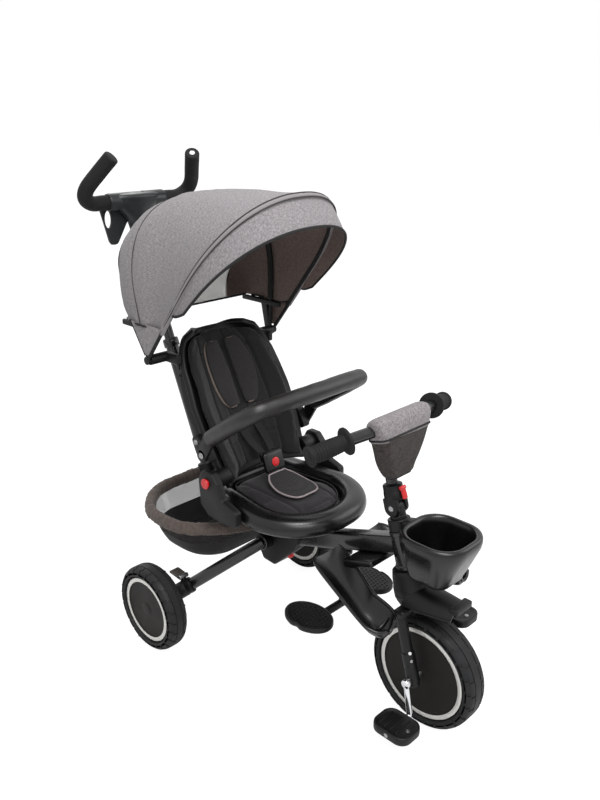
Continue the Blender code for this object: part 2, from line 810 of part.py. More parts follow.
def make_brake_lever(sign):
    """A small foot lever, notched round the lug that its pin goes through."""
    pivot = mirrored_point(BRAKE_PIVOT, sign)
    half_pin = Vector((BRAKE_PIN_LENGTH / 2, 0, 0))
    name = mirrored_name("brake_lever", sign)
    pin = rod(name, pivot - half_pin, pivot + half_pin, BRAKE_PIN_RADIUS, sides=12)
    place = pivot + Vector((0.0, 0.018, 0.003))
    pedal = block("pedal", BRAKE_PEDAL_SIZE, place, math.radians(10.0), 0.0015)
    notch = block("notch", (BRAKE_SEAT_WIDTH + 4 * GAP, BRAKE_SEAT_DEPTH + 0.003, 0.06), pivot)
    pedal = cut(pedal, notch)
    return finished(joined(pin, pedal), LIGHT_GREY)


def wheel_profile(radius, width, ring_radius, bore):
    """A disc with dished faces, a raised ring near its rim and a hub boss round its bore."""
    half = width / 2
    face = half - 0.006
    outer = [
        (bore, half - 0.001), (0.018, half - 0.001), (0.024, face - 0.003),
        (ring_radius - RING_WIDTH - 0.002, face), (ring_radius - RING_WIDTH, face + 0.0025),
        (ring_radius, face + 0.0025), (radius, face - 0.001),
    ]
    return outer + [(r, -z) for r, z in outer[::-1]]


def tyre_profile(radius, inner, width, shoulder):
    """A square-shouldered foam tyre with a slightly crowned tread."""
    half = width / 2
    outer = [
        (inner, half - 0.004), (inner + 0.004, half), (radius - shoulder, half),
        (radius - shoulder * 0.35, half - shoulder * 0.22), (radius, half - shoulder * 0.85),
    ]
    return outer + [(r, -z) for r, z in outer[::-1]]


def make_wheel(tyre_name, wheel_name, centre, radius, rim, ring, width, shoulder, sides):
    tyre = turned(
        tyre_name, tyre_profile(radius, rim, width, shoulder), place=centre, direction=(1, 0, 0),
        sides=sides, ring=True,
    )
    wheel = turned(
        wheel_name, wheel_profile(rim - GAP, width - 0.002, ring, AXLE_RADIUS + GAP), place=centre,
        direction=(1, 0, 0), sides=sides, ring=True,
    )
    return finished(tyre, RUBBER), finished(wheel, GLOSS_BLACK)


# Steering

def make_fork():
    """The crown cone, its bridge over the tyre, and two legs with lower sleeves."""
    crown = turned(
        "fork",
        [(0.0, COLLAR_BASE - GAP), (COLLAR_RADIUS, COLLAR_BASE - GAP), (COLLAR_RADIUS, COLLAR_BASE - 0.005),
         (0.026, CROWN_BASE), (0.0, CROWN_BASE)], sides=20,
    )
    bridge = block(
        "bridge", (2 * (FORK_LEG_OFFSET + FORK_LEG_RADIUS), 0.030, 0.016), (0.0, 0.0, CROWN_BASE + 0.001),
        edge=0.004,
    )
    pieces = [bridge]
    for sign in (-1.0, 1.0):
        x = sign * FORK_LEG_OFFSET
        pieces.append(rod("leg", (x, 0, CROWN_BASE), (x, 0, 0.01), FORK_LEG_RADIUS, sides=12))
        pieces.append(turned(
            "sleeve",
            [(0.0, 0.058), (FORK_LEG_RADIUS, 0.058), (FORK_SLEEVE_RADIUS, 0.054),
             (FORK_SLEEVE_RADIUS, -0.008), (0.009, -0.015), (0.0, -0.017)], place=(x, 0, 0), sides=16,
        ))
    reach = FORK_LEG_OFFSET + 2 * FORK_SLEEVE_RADIUS
    bore = rod("bore", (-reach, 0, 0), (reach, 0, 0), AXLE_RADIUS + GAP, sides=12)
    return finished(into_steering(cut(joined(crown, *pieces), bore)), SATIN_BLACK)


FORK_BUTTON_ANGLE = math.radians(12.0)
FORK_BUTTON_OUT = Vector((-math.sin(FORK_BUTTON_ANGLE), -math.cos(FORK_BUTTON_ANGLE), 0.0))
FORK_BUTTON_HEIGHT = HEAD_TUBE_BASE - 0.0168
FORK_BUTTON_RADIUS = 0.0065


def fork_button_point(proud):
    """A point on the fork button's axis, so far outside the collar."""
    return FORK_BUTTON_OUT * (COLLAR_RADIUS + proud) + Vector((0, 0, FORK_BUTTON_HEIGHT))


def make_steering_column():
    """One turned column: collar below the head tube, shaft through it, shoulder and knuckle tongue above."""
    column = turned(
        "steering_column",
        [(0.0, COLUMN_TOP), (COLUMN_RADIUS - 0.001, COLUMN_TOP), (COLUMN_RADIUS, COLUMN_TOP - 0.001),
         (COLUMN_RADIUS, HEAD_TUBE_TOP + GAP), (SHAFT_RADIUS, HEAD_TUBE_TOP + GAP),
         (SHAFT_RADIUS, HEAD_TUBE_BASE - GAP), (0.0315, HEAD_TUBE_BASE - GAP), (0.0325, HEAD_TUBE_BASE - 0.007),
         (COLLAR_RADIUS - 0.001, COLLAR_BASE + 0.016), (COLLAR_RADIUS, COLLAR_BASE + 0.013),
         (COLLAR_RADIUS, COLLAR_BASE), (0.0, COLLAR_BASE)], sides=20,
    )
    tongue = block(
        "tongue", (TONGUE_WIDTH, 2 * KNUCKLE_RADIUS, KNUCKLE_PIVOT - COLUMN_TOP + 0.0065),
        (0.0, 0.0, (KNUCKLE_PIVOT + COLUMN_TOP - 0.0065) / 2),
    )
    eye = rod(
        "eye", (-TONGUE_WIDTH / 2, 0, KNUCKLE_PIVOT), (TONGUE_WIDTH / 2, 0, KNUCKLE_PIVOT), KNUCKLE_RADIUS,
        sides=16,
    )
    pocket = rod(
        "pocket", fork_button_point(-0.014), fork_button_point(0.010), FORK_BUTTON_RADIUS + GAP, sides=12,
    )
    return finished(into_steering(cut(joined(column, tongue, eye), pocket)), SATIN_BLACK)


def make_fork_button():
    """The red button in the collar that frees the pedals and the fork."""
    button = rod(
        "fork_button", fork_button_point(-0.008), fork_button_point(0.003), FORK_BUTTON_RADIUS, sides=12,
    )
    return finished(into_steering(settled(rounded(button, 0.001))), RED_PLASTIC)


FENDER_TIP_Y = -0.664
FENDER_TOP = 0.302


def make_fender():
    """An arched mudguard in front of the collar, with a square block at its tip."""
    rows = []
    for i in range(5):
        t = i / 4
        y = -0.548 + (FENDER_TIP_Y + 0.548) * t
        half = 0.044 - 0.010 * t ** 2
        top = FENDER_TOP - 0.006 * t
        drop = 0.034 * (1 - 0.50 * t)
        row = []
        for j in range(7):
            s = j / 3 - 1
            row.append((half * s, y, top - drop * abs(s) ** 3))
        rows.append(row)
    fender = sheet("fender", rows, 0.003, 1.0)
    tip = block("tip", (0.045, 0.018, 0.013), (0.0, FENDER_TIP_Y + 0.006, FENDER_TOP - 0.009), edge=0.002)
    collar = rod(
        "collar", steered(0, 0, COLLAR_BASE - 0.06), steered(0, 0, HEAD_TUBE_BASE + 0.02), COLLAR_RADIUS + GAP,
        sides=20,
    )
    return finished(cut(joined(fender, tip), collar), SATIN_BLACK)


TRAY_CENTRE_Y = -0.595
TRAY_HALF = 0.070
TRAY_RIM = 0.430
TRAY_FLOOR = 0.331


def tray_ring(half, height, corner, ahead=0.0):
    outline = softened([(-half, -half), (half, -half), (half, half), (-half, half)], corner, 3)
    return [(x, TRAY_CENTRE_Y - ahead + y, height) for x, y in outline]


def make_tray():
    """An open box with tapering walls and a turned-out rim, clamped round the column."""
    wall = 0.003
    tray = loft("tray", [
        tray_ring(0.044, TRAY_FLOOR, 0.018, 0.006), tray_ring(0.048, TRAY_FLOOR + 0.004, 0.020, 0.006),
        tray_ring(0.066, TRAY_RIM - 0.006, 0.028), tray_ring(TRAY_HALF, TRAY_RIM - 0.004, 0.030),
        tray_ring(TRAY_HALF, TRAY_RIM, 0.030), tray_ring(0.066 - wall, TRAY_RIM, 0.026),
        tray_ring(0.049 - wall, TRAY_FLOOR + 0.008, 0.018, 0.006),
        tray_ring(0.045 - wall, TRAY_FLOOR + wall, 0.016, 0.006),
    ])
    base = HEAD_TUBE_TOP + 2 * GAP
    ring = rod("ring", steered(0, 0, base), steered(0, 0, base + TRAY_CLAMP_HEIGHT), 0.0225, sides=20)
    web = block("web", (0.026, 0.024, 0.020), steered(0, -0.026, base + TRAY_CLAMP_HEIGHT / 2), -STEER_TILT)
    bore = rod("bore", steered(0, 0, base - 0.01), steered(0, 0, base + 0.04), COLUMN_RADIUS + GAP, sides=20)
    return finished(cut(joined(tray, ring, web), bore), SATIN_BLACK)


# Handlebar

def make_stem_socket():
    """The upper knuckle: two cheeks round the tongue and a socket for the handlebar stem."""
    cheek_width = 0.037
    barrel = turned(
        "stem_socket",
        [(0.0, STEM_SOCKET_TOP), (STEM_SOCKET_RADIUS - 0.003, STEM_SOCKET_TOP),
         (STEM_SOCKET_RADIUS, STEM_SOCKET_TOP - 0.003), (STEM_SOCKET_RADIUS, 0.3538), (0.0, 0.3538)],
        sides=16,
    )
    cheeks = rod(
        "cheeks", (-cheek_width / 2, 0, KNUCKLE_PIVOT), (cheek_width / 2, 0, KNUCKLE_PIVOT),
        KNUCKLE_RADIUS, sides=16,
    )
    neck = block("neck", (cheek_width, 2 * KNUCKLE_RADIUS, 0.020), (0, 0, KNUCKLE_PIVOT + 0.010))
    slot = block("slot", (TONGUE_WIDTH + 2 * GAP, 0.060, 0.0441), (0, 0, 0.3535 - 0.02205))
    bore = rod("bore", (0, 0, 0.3655), (0, 0, STEM_SOCKET_TOP + 0.01), STEM_RADIUS + GAP, sides=16)
    return finished(into_steering(cut(joined(barrel, cheeks, neck), slot, bore)), SATIN_BLACK)


def grip_axis(sign):
    start = mirrored_point(GRIP_START, sign)
    end = mirrored_point(GRIP_END, sign)
    return start, (end - start).normalized(), (end - start).length


def handlebar_path(sign):
    """Half of the handlebar's cross tube, from the middle to inside the grip."""
    start, along, length = grip_axis(sign)
    return [
        (0.0, -BAR_FORWARD, BAR_HEIGHT), (sign * 0.055, -BAR_FORWARD + 0.001, BAR_HEIGHT), start,
        start + along * (length - 0.006),
    ]


def make_handlebar(name="handlebar", clearance=0.0):
    """A stem that bends forward and carries a cross tube with swept-back ends."""
    radius = STEM_RADIUS + clearance
    stem = tube(
        name, arc_path([(0, 0, 0.366), (0, 0, 0.400), (0, -BAR_FORWARD, BAR_HEIGHT)], 0.05, 3), radius, 2,
    )
    right = handlebar_path(-1.0)[::-1]
    left = handlebar_path(1.0)[1:]
    bar = tube("bar", arc_path(right + left, 0.04, 2), radius, 2)
    return joined(stem, bar)


def make_grip(sign):
    """A ribbed rubber sleeve, closed at its outer end, with a flange at its inner end."""
    start, along, length = grip_axis(sign)
    profile = [(0.0, length), (GRIP_RADIUS - 0.003, length), (GRIP_RADIUS, length - 0.003)]
    ribs = 5
    pitch = (length - 0.022) / ribs
    for rib in range(ribs):
        height = length - 0.008 - rib * pitch
        profile.append((GRIP_RADIUS, height))
        profile.append((GRIP_RADIUS - 0.0018, height - pitch * 0.5))
    bore_end = length - 0.005
    profile += [
        (GRIP_RADIUS, 0.008), (GRIP_FLANGE_RADIUS, 0.005), (GRIP_FLANGE_RADIUS, 0.0),
        (STEM_RADIUS + GAP, 0.0), (STEM_RADIUS + GAP, bore_end), (0.0, bore_end),
    ]
    grip = turned(mirrored_name("grip", sign), profile, place=start, direction=along, sides=16)
    return finished(into_steering(grip), RUBBER)


def pouch_ring(half, front, rear, height):
    outline = softened([(-half, front), (half, front), (half, rear), (-half, rear)], 0.012, 3)
    return [(x, y, height) for x, y in outline]


def make_handlebar_pouch():
    """The cloth bag that wraps the cross tube and hangs in front of the stem."""
    pouch = loft("handlebar_pouch", [
        pouch_ring(0.020, -0.028, -0.012, 0.402), pouch_ring(0.047, -0.040, -0.004, 0.421),
        pouch_ring(0.064, -0.058, -0.014, 0.462), pouch_ring(0.076, -0.068, -0.026, 0.504),
        pouch_ring(0.078, -0.066, -0.028, 0.520), pouch_ring(0.072, -0.058, -0.036, 0.528),
    ])
    slot = block("slot", (0.027, 0.060, 0.130), (0.0, 0.0, 0.459), math.radians(21.0))
    bar = make_handlebar("bar_space", 0.0006)
    return finished(into_steering(cut(pouch, slot, bar)), PAD_CLOTH)


STEM_LEVER_PIVOT = Vector((0.0, -STEM_SOCKET_RADIUS - 0.0045, 0.378))


def make_stem_lever():
    """The red catch in front of the stem socket."""
    pivot = STEM_LEVER_PIVOT
    hinge = rod("stem_lever", pivot - Vector((0.007, 0, 0)), pivot + Vector((0.007, 0, 0)), 0.004, sides=12)
    place = pivot + Vector((0.0, -0.001, -0.011))
    tab = block("tab", (0.012, 0.005, 0.022), place, math.radians(-6.0), 0.001)
    return finished(into_steering(joined(hinge, tab)), RED_PLASTIC)


# Front wheel drive

CRANK_OFFSET = 0.0665
PEDAL_DROP = Vector((0.0, -0.012, -0.070))
PEDAL_PIN_RADIUS = 0.0045
PEDAL_PIN_LENGTH = 0.074
ARM_RADIUS = 0.0062


def make_crank():
    """The chromed axle with an arm and a pedal pin at each end, half a turn apart."""
    offset = Vector((CRANK_OFFSET, 0, 0))
    half_boss = Vector((ARM_RADIUS, 0, 0))
    axle = rod("crank", FRONT_AXLE - offset, FRONT_AXLE + offset, AXLE_RADIUS)
    pieces = []
    for sign in (-1.0, 1.0):
        hub = FRONT_AXLE + offset * sign
        pin = pedal_pin(sign)
        pieces.append(rod("arm", hub, pin, ARM_RADIUS, sides=12))
        pieces.append(rod("arm_end", hub - half_boss, hub + half_boss, 0.0095, sides=12))
        pieces.append(rod("boss", pin - half_boss, pin + half_boss, 0.008, sides=12))
        pin_end = pin + Vector((sign * PEDAL_PIN_LENGTH, 0, 0))
        pieces.append(rod("pin", pin, pin_end, PEDAL_PIN_RADIUS, sides=12))
    return finished(joined(axle, *pieces), CHROME)


def pedal_pin(sign):
    return FRONT_AXLE + Vector((sign * CRANK_OFFSET, 0, 0)) - PEDAL_DROP * sign


def make_pedal(sign):
    """A plastic tread block with chamfered ends and grooves across, turning on the crank's pin."""
    name = mirrored_name("pedal", sign)
    pin = pedal_pin(sign)
    inner = 0.0085
    width = 0.066
    centre = pin + Vector((sign * (inner + width / 2), 0, 0))
    outline = softened([
        (-0.042, -0.0055), (-0.034, -0.0075), (0.034, -0.0075), (0.042, -0.0055),
        (0.042, 0.0055), (0.034, 0.0075), (-0.034, 0.0075), (-0.042, 0.0055),
    ], 0.002, 1)
    pedal = plate(name, outline, width, centre)
    bore_end = pin + Vector((sign * (PEDAL_PIN_LENGTH + 0.002), 0, 0))
    cutters = [rod("bore", pin, bore_end, PEDAL_PIN_RADIUS + GAP, sides=12)]
    for side in (-1.0, 1.0):
        for index in (-2, -1, 1, 2):
            place = centre + Vector((0.0, 0.0135 * index, side * 0.0075))
            cutters.append(block("groove", (width * 0.72, 0.004, 0.003), place))
    return finished(cut(pedal, *cutters), SATIN_BLACK)


# Seat

def seat_ring(inset, height):
    """The seat's D outline: straight sides, rounded front, small rear corners."""
    half = SEAT_HALF_WIDTH - inset
    front = SEAT_FRONT_Y + inset
    rear = SEAT_REAR_Y - inset * 0.6
    corner = SEAT_CORNER - inset * 0.5
    points = []
    for side in (1.0, -1.0):
        for step in range(8):
            turn = math.pi / 2 * step / 7
            if side < 0:
                turn = math.pi / 2 - turn
            points.append((
                side * (half - corner + corner * math.cos(turn)), front + corner - corner * math.sin(turn),
            ))
    rear_corner = 0.035
    for side in (-1.0, 1.0):
        for step in range(4):
            turn = math.pi / 2 * step / 3
            if side > 0:
                turn = math.pi / 2 - turn
            points.append((
                side * (half * 0.86 - rear_corner + rear_corner * math.cos(turn)),
                rear - rear_corner + rear_corner * math.sin(turn),
            ))
    return [(x, y, height) for x, y in points]


def make_seat_shell():
    """A dished shell with a thick rolled rim, on a round boss that turns on the hub."""
    shell = loft("seat_shell", [
        seat_ring(0.032, SEAT_UNDERSIDE), seat_ring(0.016, SEAT_UNDERSIDE + 0.009),
        seat_ring(0.004, 0.354), seat_ring(0.0, 0.363), seat_ring(0.002, 0.374),
        seat_ring(0.007, SEAT_RIM - 0.003), seat_ring(0.014, SEAT_RIM), seat_ring(0.022, SEAT_RIM - 0.003),
        seat_ring(0.027, SEAT_FLOOR + 0.010), seat_ring(0.034, SEAT_FLOOR),
    ])
    boss = rod(
        "boss", (0.0, SEAT_AXIS_Y, TURNTABLE_TOP + GAP), (0.0, SEAT_AXIS_Y, SEAT_UNDERSIDE + OVERLAP),
        TURNTABLE_RADIUS, sides=20,
    )
    return finished(joined(shell, boss), GLOSS_BLACK)


def make_seat_pad():
    """The cloth pad in the shell's dish, crowned in the middle and drawn in at its sides."""
    floor = SEAT_FLOOR + GAP
    pad = loft("seat_pad", [
        seat_ring(0.040, floor), seat_ring(0.033, floor + 0.006), seat_ring(0.035, floor + 0.011),
        seat_ring(0.044, floor + 0.015), seat_ring(0.066, floor + 0.0185), seat_ring(0.090, floor + 0.0195),
    ])
    return finished(pad, DARK_CLOTH)


def make_seat_space():
    """The outside of the seat shell with a clearance, for the brackets that are screwed to its flanks."""
    return loft("seat_space", [
        seat_ring(0.032 - GAP, SEAT_UNDERSIDE - GAP), seat_ring(0.016 - GAP, SEAT_UNDERSIDE + 0.009),
        seat_ring(0.004 - GAP, 0.354), seat_ring(-GAP, 0.363), seat_ring(0.002 - GAP, 0.374),
        seat_ring(0.007 - GAP, SEAT_RIM - 0.003), seat_ring(0.014 - GAP, SEAT_RIM + GAP),
    ])


def make_seat_bracket(sign):
    """The side plate that rises from the seat's flank to the backrest's hinge."""
    inner = SEAT_HALF_WIDTH + GAP
    outline = softened([
        (-0.206, 0.350), (-0.160, 0.352), (-0.126, 0.374), (-0.100, 0.400), (-0.092, 0.424),
        (-0.104, 0.446), (-0.128, 0.446), (-0.142, 0.430), (-0.156, 0.396), (-0.206, 0.382),
    ], 0.008)
    place = (sign * (inner + BRACKET_THICKNESS / 2), 0.0, 0.0)
    bracket = plate(mirrored_name("seat_bracket", sign), outline, BRACKET_THICKNESS, place)
    bracket = settled(rounded(bracket, 0.002, 1, 50.0))
    outer = inner + BRACKET_THICKNESS
    pocket = rod(
        "pocket", (sign * (outer - 0.010), HINGE_Y, HINGE_Z), (sign * (outer + 0.01), HINGE_Y, HINGE_Z),
        0.009 + GAP, sides=16,
    )
    lug = block("lug", (0.024, 0.040, 0.024), (sign * (inner - 0.009), -0.184, 0.366))
    return finished(cut(joined(bracket, lug), pocket, make_seat_space()), SATIN_BLACK)


def make_recline_button(sign):
    """The red button on a hinge that frees the backrest."""
    outer = SEAT_HALF_WIDTH + GAP + BRACKET_THICKNESS
    button = rod(
        mirrored_name("recline_button", sign), (sign * (outer - 0.0055), HINGE_Y, HINGE_Z),
        (sign * (outer + 0.0035), HINGE_Y, HINGE_Z), 0.009, sides=16,
    )
    return finished(settled(rounded(button, 0.0012, 1)), RED_PLASTIC)


BUCKLE_PLACE = Vector((0.0, -0.143, 0.428))
BUCKLE_TILT = math.radians(-18.0)


def make_buckle():
    """The harness buckle, with a pocket for its button."""
    buckle = block("buckle", (0.046, 0.015, 0.040), BUCKLE_PLACE, BUCKLE_TILT, 0.005)
    out = buckle_out()
    pocket = rod("pocket", BUCKLE_PLACE + out * 0.0015, BUCKLE_PLACE + out * 0.02, 0.0085 + GAP, sides=16)
    return finished(cut(buckle, pocket), GLOSS_BLACK)


def buckle_out():
    """The direction in which the buckle faces, forward and a little up."""
    return Vector((0.0, -math.cos(BUCKLE_TILT), -math.sin(BUCKLE_TILT)))


def make_buckle_button():
    out = buckle_out()
    button = rod("buckle_button", BUCKLE_PLACE + out * 0.0052, BUCKLE_PLACE + out * 0.0098, 0.0085, sides=16)
    return finished(settled(rounded(button, 0.001, 1)), RED_PLASTIC)


def make_crotch_pad():
    """The padded strap that rises from the seat pad to the buckle."""
    foot = Vector((0.0, -0.186, SEAT_FLOOR + 0.0240))
    head = BUCKLE_PLACE - Vector((0.0, 0.0, 0.0275))
    middle = (foot + head) / 2 + Vector((0.0, -0.006, 0.002))
    rows = []
    for point, half in ((foot, 0.020), (foot.lerp(middle, 0.5), 0.026), (middle, 0.027), (head, 0.019)):
        rows.append([(x, point.y, point.z) for x in (-half, -half * 0.6, half * 0.6, half)])
    return finished(sheet("crotch_pad", rows, 0.010, 0.0), PAD_CLOTH)


# Backrest

BACK_LINE = [(0.400, -0.088), (0.500, -0.040), (0.607, 0.015), (0.700, 0.071)]
BACK_SLOPE = 0.48
BACK_WIDTHS = [
    (0.400, 0.112), (0.440, 0.124), (0.500, 0.134), (0.560, 0.137), (0.640, 0.128), (0.680, 0.116),
    (0.700, 0.098),
]
BACK_HEIGHTS = [0.400, 0.430, 0.470, 0.520, 0.570, 0.620, 0.660, 0.685, 0.700]


def between(table, key):
    """Read a value from a short table of key and value pairs."""
    for (low, first), (high, last) in zip(table, table[1:]):
        if key <= high:
            return first + (last - first) * (key - low) / (high - low)
    return table[-1][1]


def back_point(across, z, ahead=0.0, trim=0.0):
    """A point on the backrest's hollow front, from -1 to 1 across, moved ahead of it."""
    half = between(BACK_WIDTHS, z) - trim
    wing = 0.044 * abs(across) ** 2.4
    return Vector((across * half, between(BACK_LINE, z) - wing - ahead, z))


def back_rows(heights, columns, ahead=0.0, trim=0.0):
    return [
        [back_point(2 * j / columns - 1, z, ahead, trim) for j in range(columns + 1)] for z in heights
    ]


def make_backrest_shell():
    """The hollow back panel, with an ear at each side for the hinge."""
    shell = sheet("backrest_shell", back_rows(BACK_HEIGHTS, 8), BACK_THICKNESS, -1.0)
    ears = []
    for sign in (-1.0, 1.0):
        ears.append(rod(
            "ear", (sign * 0.112, HINGE_Y, HINGE_Z), (sign * SEAT_HALF_WIDTH, HINGE_Y, HINGE_Z), EAR_RADIUS,
            sides=16,
        ))
    return finished(joined(shell, *ears), SATIN_BLACK)


def make_backrest_pad():
    """The padded liner on the front of the panel, with a sewn channel down each side."""
    ahead = 0.0006
    heights = [0.4065, 0.440, 0.500, 0.560, 0.620, 0.660, 0.690]
    rows = []
    for z in heights:
        row = []
        for share in (-1.0, -0.86, -0.62, -0.56, -0.50, -0.25, 0.0, 0.25, 0.50, 0.56, 0.62, 0.86, 1.0):
            row.append(back_point(share, z, ahead, 0.008))
        rows.append(row)
    pad = sheet("backrest_pad", rows, BACK_PAD_THICKNESS, 1.0)
    ear_spaces = [
        rod("ear_space", (sign * 0.100, HINGE_Y, HINGE_Z), (sign * 0.16, HINGE_Y, HINGE_Z), EAR_RADIUS + ahead)
        for sign in (-1.0, 1.0)
    ]
    return finished(cut(pad, *ear_spaces), DARK_CLOTH)


STRAP_ON_PAD = [
    (0.680, 0.030, 0.017), (0.640, 0.030, 0.021), (0.600, 0.030, 0.020), (0.560, 0.030, 0.014),
    (0.500, 0.029, 0.013),
]


def make_harness():
    """Two padded shoulder straps that run down the pad and meet behind the buckle."""
    ahead = BACK_PAD_THICKNESS / math.cos(BACK_SLOPE) + 0.0042
    across = (-1.0, -0.5, 0.5, 1.0)
    pieces = []
    for sign in (-1.0, 1.0):
        strap = []
        for z, x, half in STRAP_ON_PAD:
            width = between(BACK_WIDTHS, z)
            strap.append([back_point((sign * x + s * half) / width, z, ahead) for s in across])
        strap.append([(sign * 0.020 + s * 0.012, -0.098, 0.463) for s in across])
        strap.append([(sign * 0.0125 + s * 0.009, -0.1265, 0.440) for s in across])
        pieces.append(sheet("harness" if sign < 0 else "strap", strap, 0.007, -1.0))
    bridge = block("bridge", (0.046, 0.008, 0.018), (0.0, -0.1268, 0.4385), BUCKLE_TILT)
    return finished(joined(pieces[0], pieces[1], bridge), PAD_CLOTH)


def make_back_pocket():
    """The flat bag that hangs on the back of the panel."""
    behind = BACK_THICKNESS / math.cos(BACK_SLOPE) + 0.0005
    half = 0.094
    rings = []
    for z, depth, width in ((0.412, 0.012, half - 0.006), (0.424, 0.030, half), (0.470, 0.052, half),
                            (0.540, 0.062, half), (0.556, 0.054, half - 0.004)):
        front = between(BACK_LINE, z) + behind
        outline = softened(rectangle(width, front, front + depth), 0.010)
        rings.append([(x, y, z) for x, y in outline])
    return finished(loft("back_pocket", rings), DARK_CLOTH)


def make_panel_space():
    """The back panel's shape with a clearance, for what is clamped on it."""
    return sheet("panel_space", back_rows(BACK_HEIGHTS, 8, 0.0005, -0.0005), BACK_THICKNESS + 0.0011, -1.0)


def make_guard_socket(sign):
    """The lug beside the panel that the guard bar is hinged on."""
    name = mirrored_name("guard_socket", sign)
    edge = back_point(1.0, 0.484)
    inner = between(BACK_WIDTHS, 0.484) + 0.0016
    outer = GUARD_PIVOT.x - GAP
    outline = softened([
        (-0.112, 0.462), (-0.092, 0.4555), (-0.064, 0.470), (-0.050, 0.500), (-0.062, 0.514), (-0.090, 0.500),
    ], 0.009)
    lug = plate(name, outline, outer - inner, (sign * (inner + outer) / 2, 0.0, 0.0))
    foot = block(
        "foot", (0.012, 0.020, 0.034), (sign * (inner - 0.002), edge.y + BACK_THICKNESS + 0.0172, 0.484),
        math.radians(-25.0),
    )
    pocket = rod("pocket", (sign * (outer - 0.007), -0.064, 0.496), (sign * (outer + 0.01), -0.064, 0.496),
                 0.006 + GAP, sides=12)
    return finished(cut(joined(lug, foot), pocket, make_panel_space()), SATIN_BLACK)


def make_guard_button(sign):
    outer = GUARD_PIVOT.x - GAP
    button = rod(mirrored_name("guard_button", sign), (sign * (outer - 0.0035), -0.064, 0.496),
                 (sign * (outer + 0.0035), -0.064, 0.496), 0.006, sides=12)
    return finished(settled(rounded(button, 0.001, 1)), LIGHT_GREY)


def make_guard_bar():
    """The padded hoop in front of the child, on two flat eyes."""
    half = [
        (0.1545, -0.118, 0.522), (0.160, -0.238, 0.604), (0.118, -0.266, GUARD_HEIGHT),
        (0.0, -0.276, GUARD_HEIGHT + 0.005),
    ]
    path = smooth_path(half + [(-x, y, z) for x, y, z in half[-2::-1]], 4)
    hoop = tube("guard_bar", path, GUARD_BAR_RADIUS, 3)
    pieces = []
    for sign in (-1.0, 1.0):
        inner = sign * GUARD_PIVOT.x
        outer = sign * (GUARD_PIVOT.x + 0.008)
        pieces.append(rod("eye", (inner, *GUARD_PIVOT.yz), (outer, *GUARD_PIVOT.yz), 0.014, sides=16))
        outline = [(-0.101, 0.466), (-0.079, 0.482), (-0.104, 0.534), (-0.132, 0.518)]
        pieces.append(plate("arm", outline, 0.008, ((inner + outer) / 2, 0.0, 0.0)))
    return finished(joined(hoop, *pieces), SATIN_BLACK)


# Canopy

def arch_point(share, lean, length, half_width, shoulder, start, shift=0.0, power=2.3):
    """A point of a canopy bow. The share runs from -1 on the right over the top at 0 to 1 on the left.

    The bow stands in a plane that leans forward about the line between the canopy's pivots. Its
    sides are straight from the start to the shoulder, and its top is a rounded arch.
    """
    side = math.copysign(1.0, share) if share else 0.0
    from_top = abs(share)
    straight = 0.30
    if from_top > 1 - straight:
        up = shoulder - (shoulder - start) * (from_top - (1 - straight)) / straight
        across = half_width
    else:
        turn = math.pi / 2 * from_top / (1 - straight)
        across = half_width * math.sin(turn) ** (2 / power)
        up = shoulder + (length - shoulder) * math.cos(turn) ** (2 / power)
    forward = math.sin(lean) * up + shift * math.cos(lean)
    height = math.cos(lean) * up - shift * math.sin(lean)
    return Vector((side * across, CANOPY_PIVOT.y - forward, CANOPY_PIVOT.z + height))


ARCH_SHARES = [-1.0, -0.85, -0.70, -0.60, -0.50, -0.40, -0.28, -0.14, 0.0]
ARCH_SHARES = ARCH_SHARES + [-share for share in ARCH_SHARES[-2::-1]]


def canopy_arch(lean_degrees, length, shoulder, half_width=CANOPY_HALF_WIDTH, shift=0.0):
    lean = math.radians(lean_degrees)
    start = (CANOPY_EDGE_Z - CANOPY_PIVOT.z) / math.cos(lean)
    return [arch_point(share, lean, length, half_width, shoulder, start, shift) for share in ARCH_SHARES]


def make_canopy():
    """The cloth hood: a steep rear panel over a straight strap, a seam bow and a flat roof."""
    half_strap = [-1.0, -0.96, -0.92, -0.86, -0.76, -0.62, -0.42, -0.20]
    across = half_strap + [0.0] + [-share for share in half_strap[::-1]]
    strap = [Vector((share * 0.172, STRAP_Y, CANOPY_EDGE_Z)) for share in across]
    roof = 0.350
    rows = [
        strap,
        canopy_arch(-42.0, 0.225, 0.115, 0.177),
        canopy_arch(-32.0, 0.314, 0.125, 0.182),
        canopy_arch(-20.0, 0.330, 0.130, 0.186),
        canopy_arch(-6.0, 0.338, 0.130, 0.186),
        canopy_arch(7.0, 0.352, 0.130, 0.185),
        canopy_arch(17.0, roof / math.cos(math.radians(17.0)) + 0.004, 0.150, 0.182),
        canopy_arch(27.0, roof / math.cos(math.radians(27.0)) + 0.003, 0.175, 0.182),
        canopy_arch(math.degrees(BOW_LEAN), BOW_LENGTH - 0.001, 0.198, 0.182, -0.0055),
    ]
    return finished(sheet("canopy", rows, CANOPY_CLOTH, 1.0), CANOPY_CLOTH_GREY)


def make_canopy_bow():
    """The wire bow that carries the canopy's front, with an eye on each pivot."""
    pivot_line = [
        arch_point(share, BOW_LEAN, BOW_LENGTH, CANOPY_PIVOT.x, 0.200, 0.0)
        for share in ARCH_SHARES
    ]
    bow = tube("canopy_bow_front", pivot_line, BOW_RADIUS, 1)
    eyes = []
    for sign in (-1.0, 1.0):
        pivot = mirrored_point(CANOPY_PIVOT, sign)
        half_eye = Vector((BOW_RADIUS, 0.0, 0.0))
        eyes.append(rod("eye", pivot - half_eye, pivot + half_eye, 0.009, sides=12))
    return finished(joined(bow, *eyes), SATIN_BLACK)


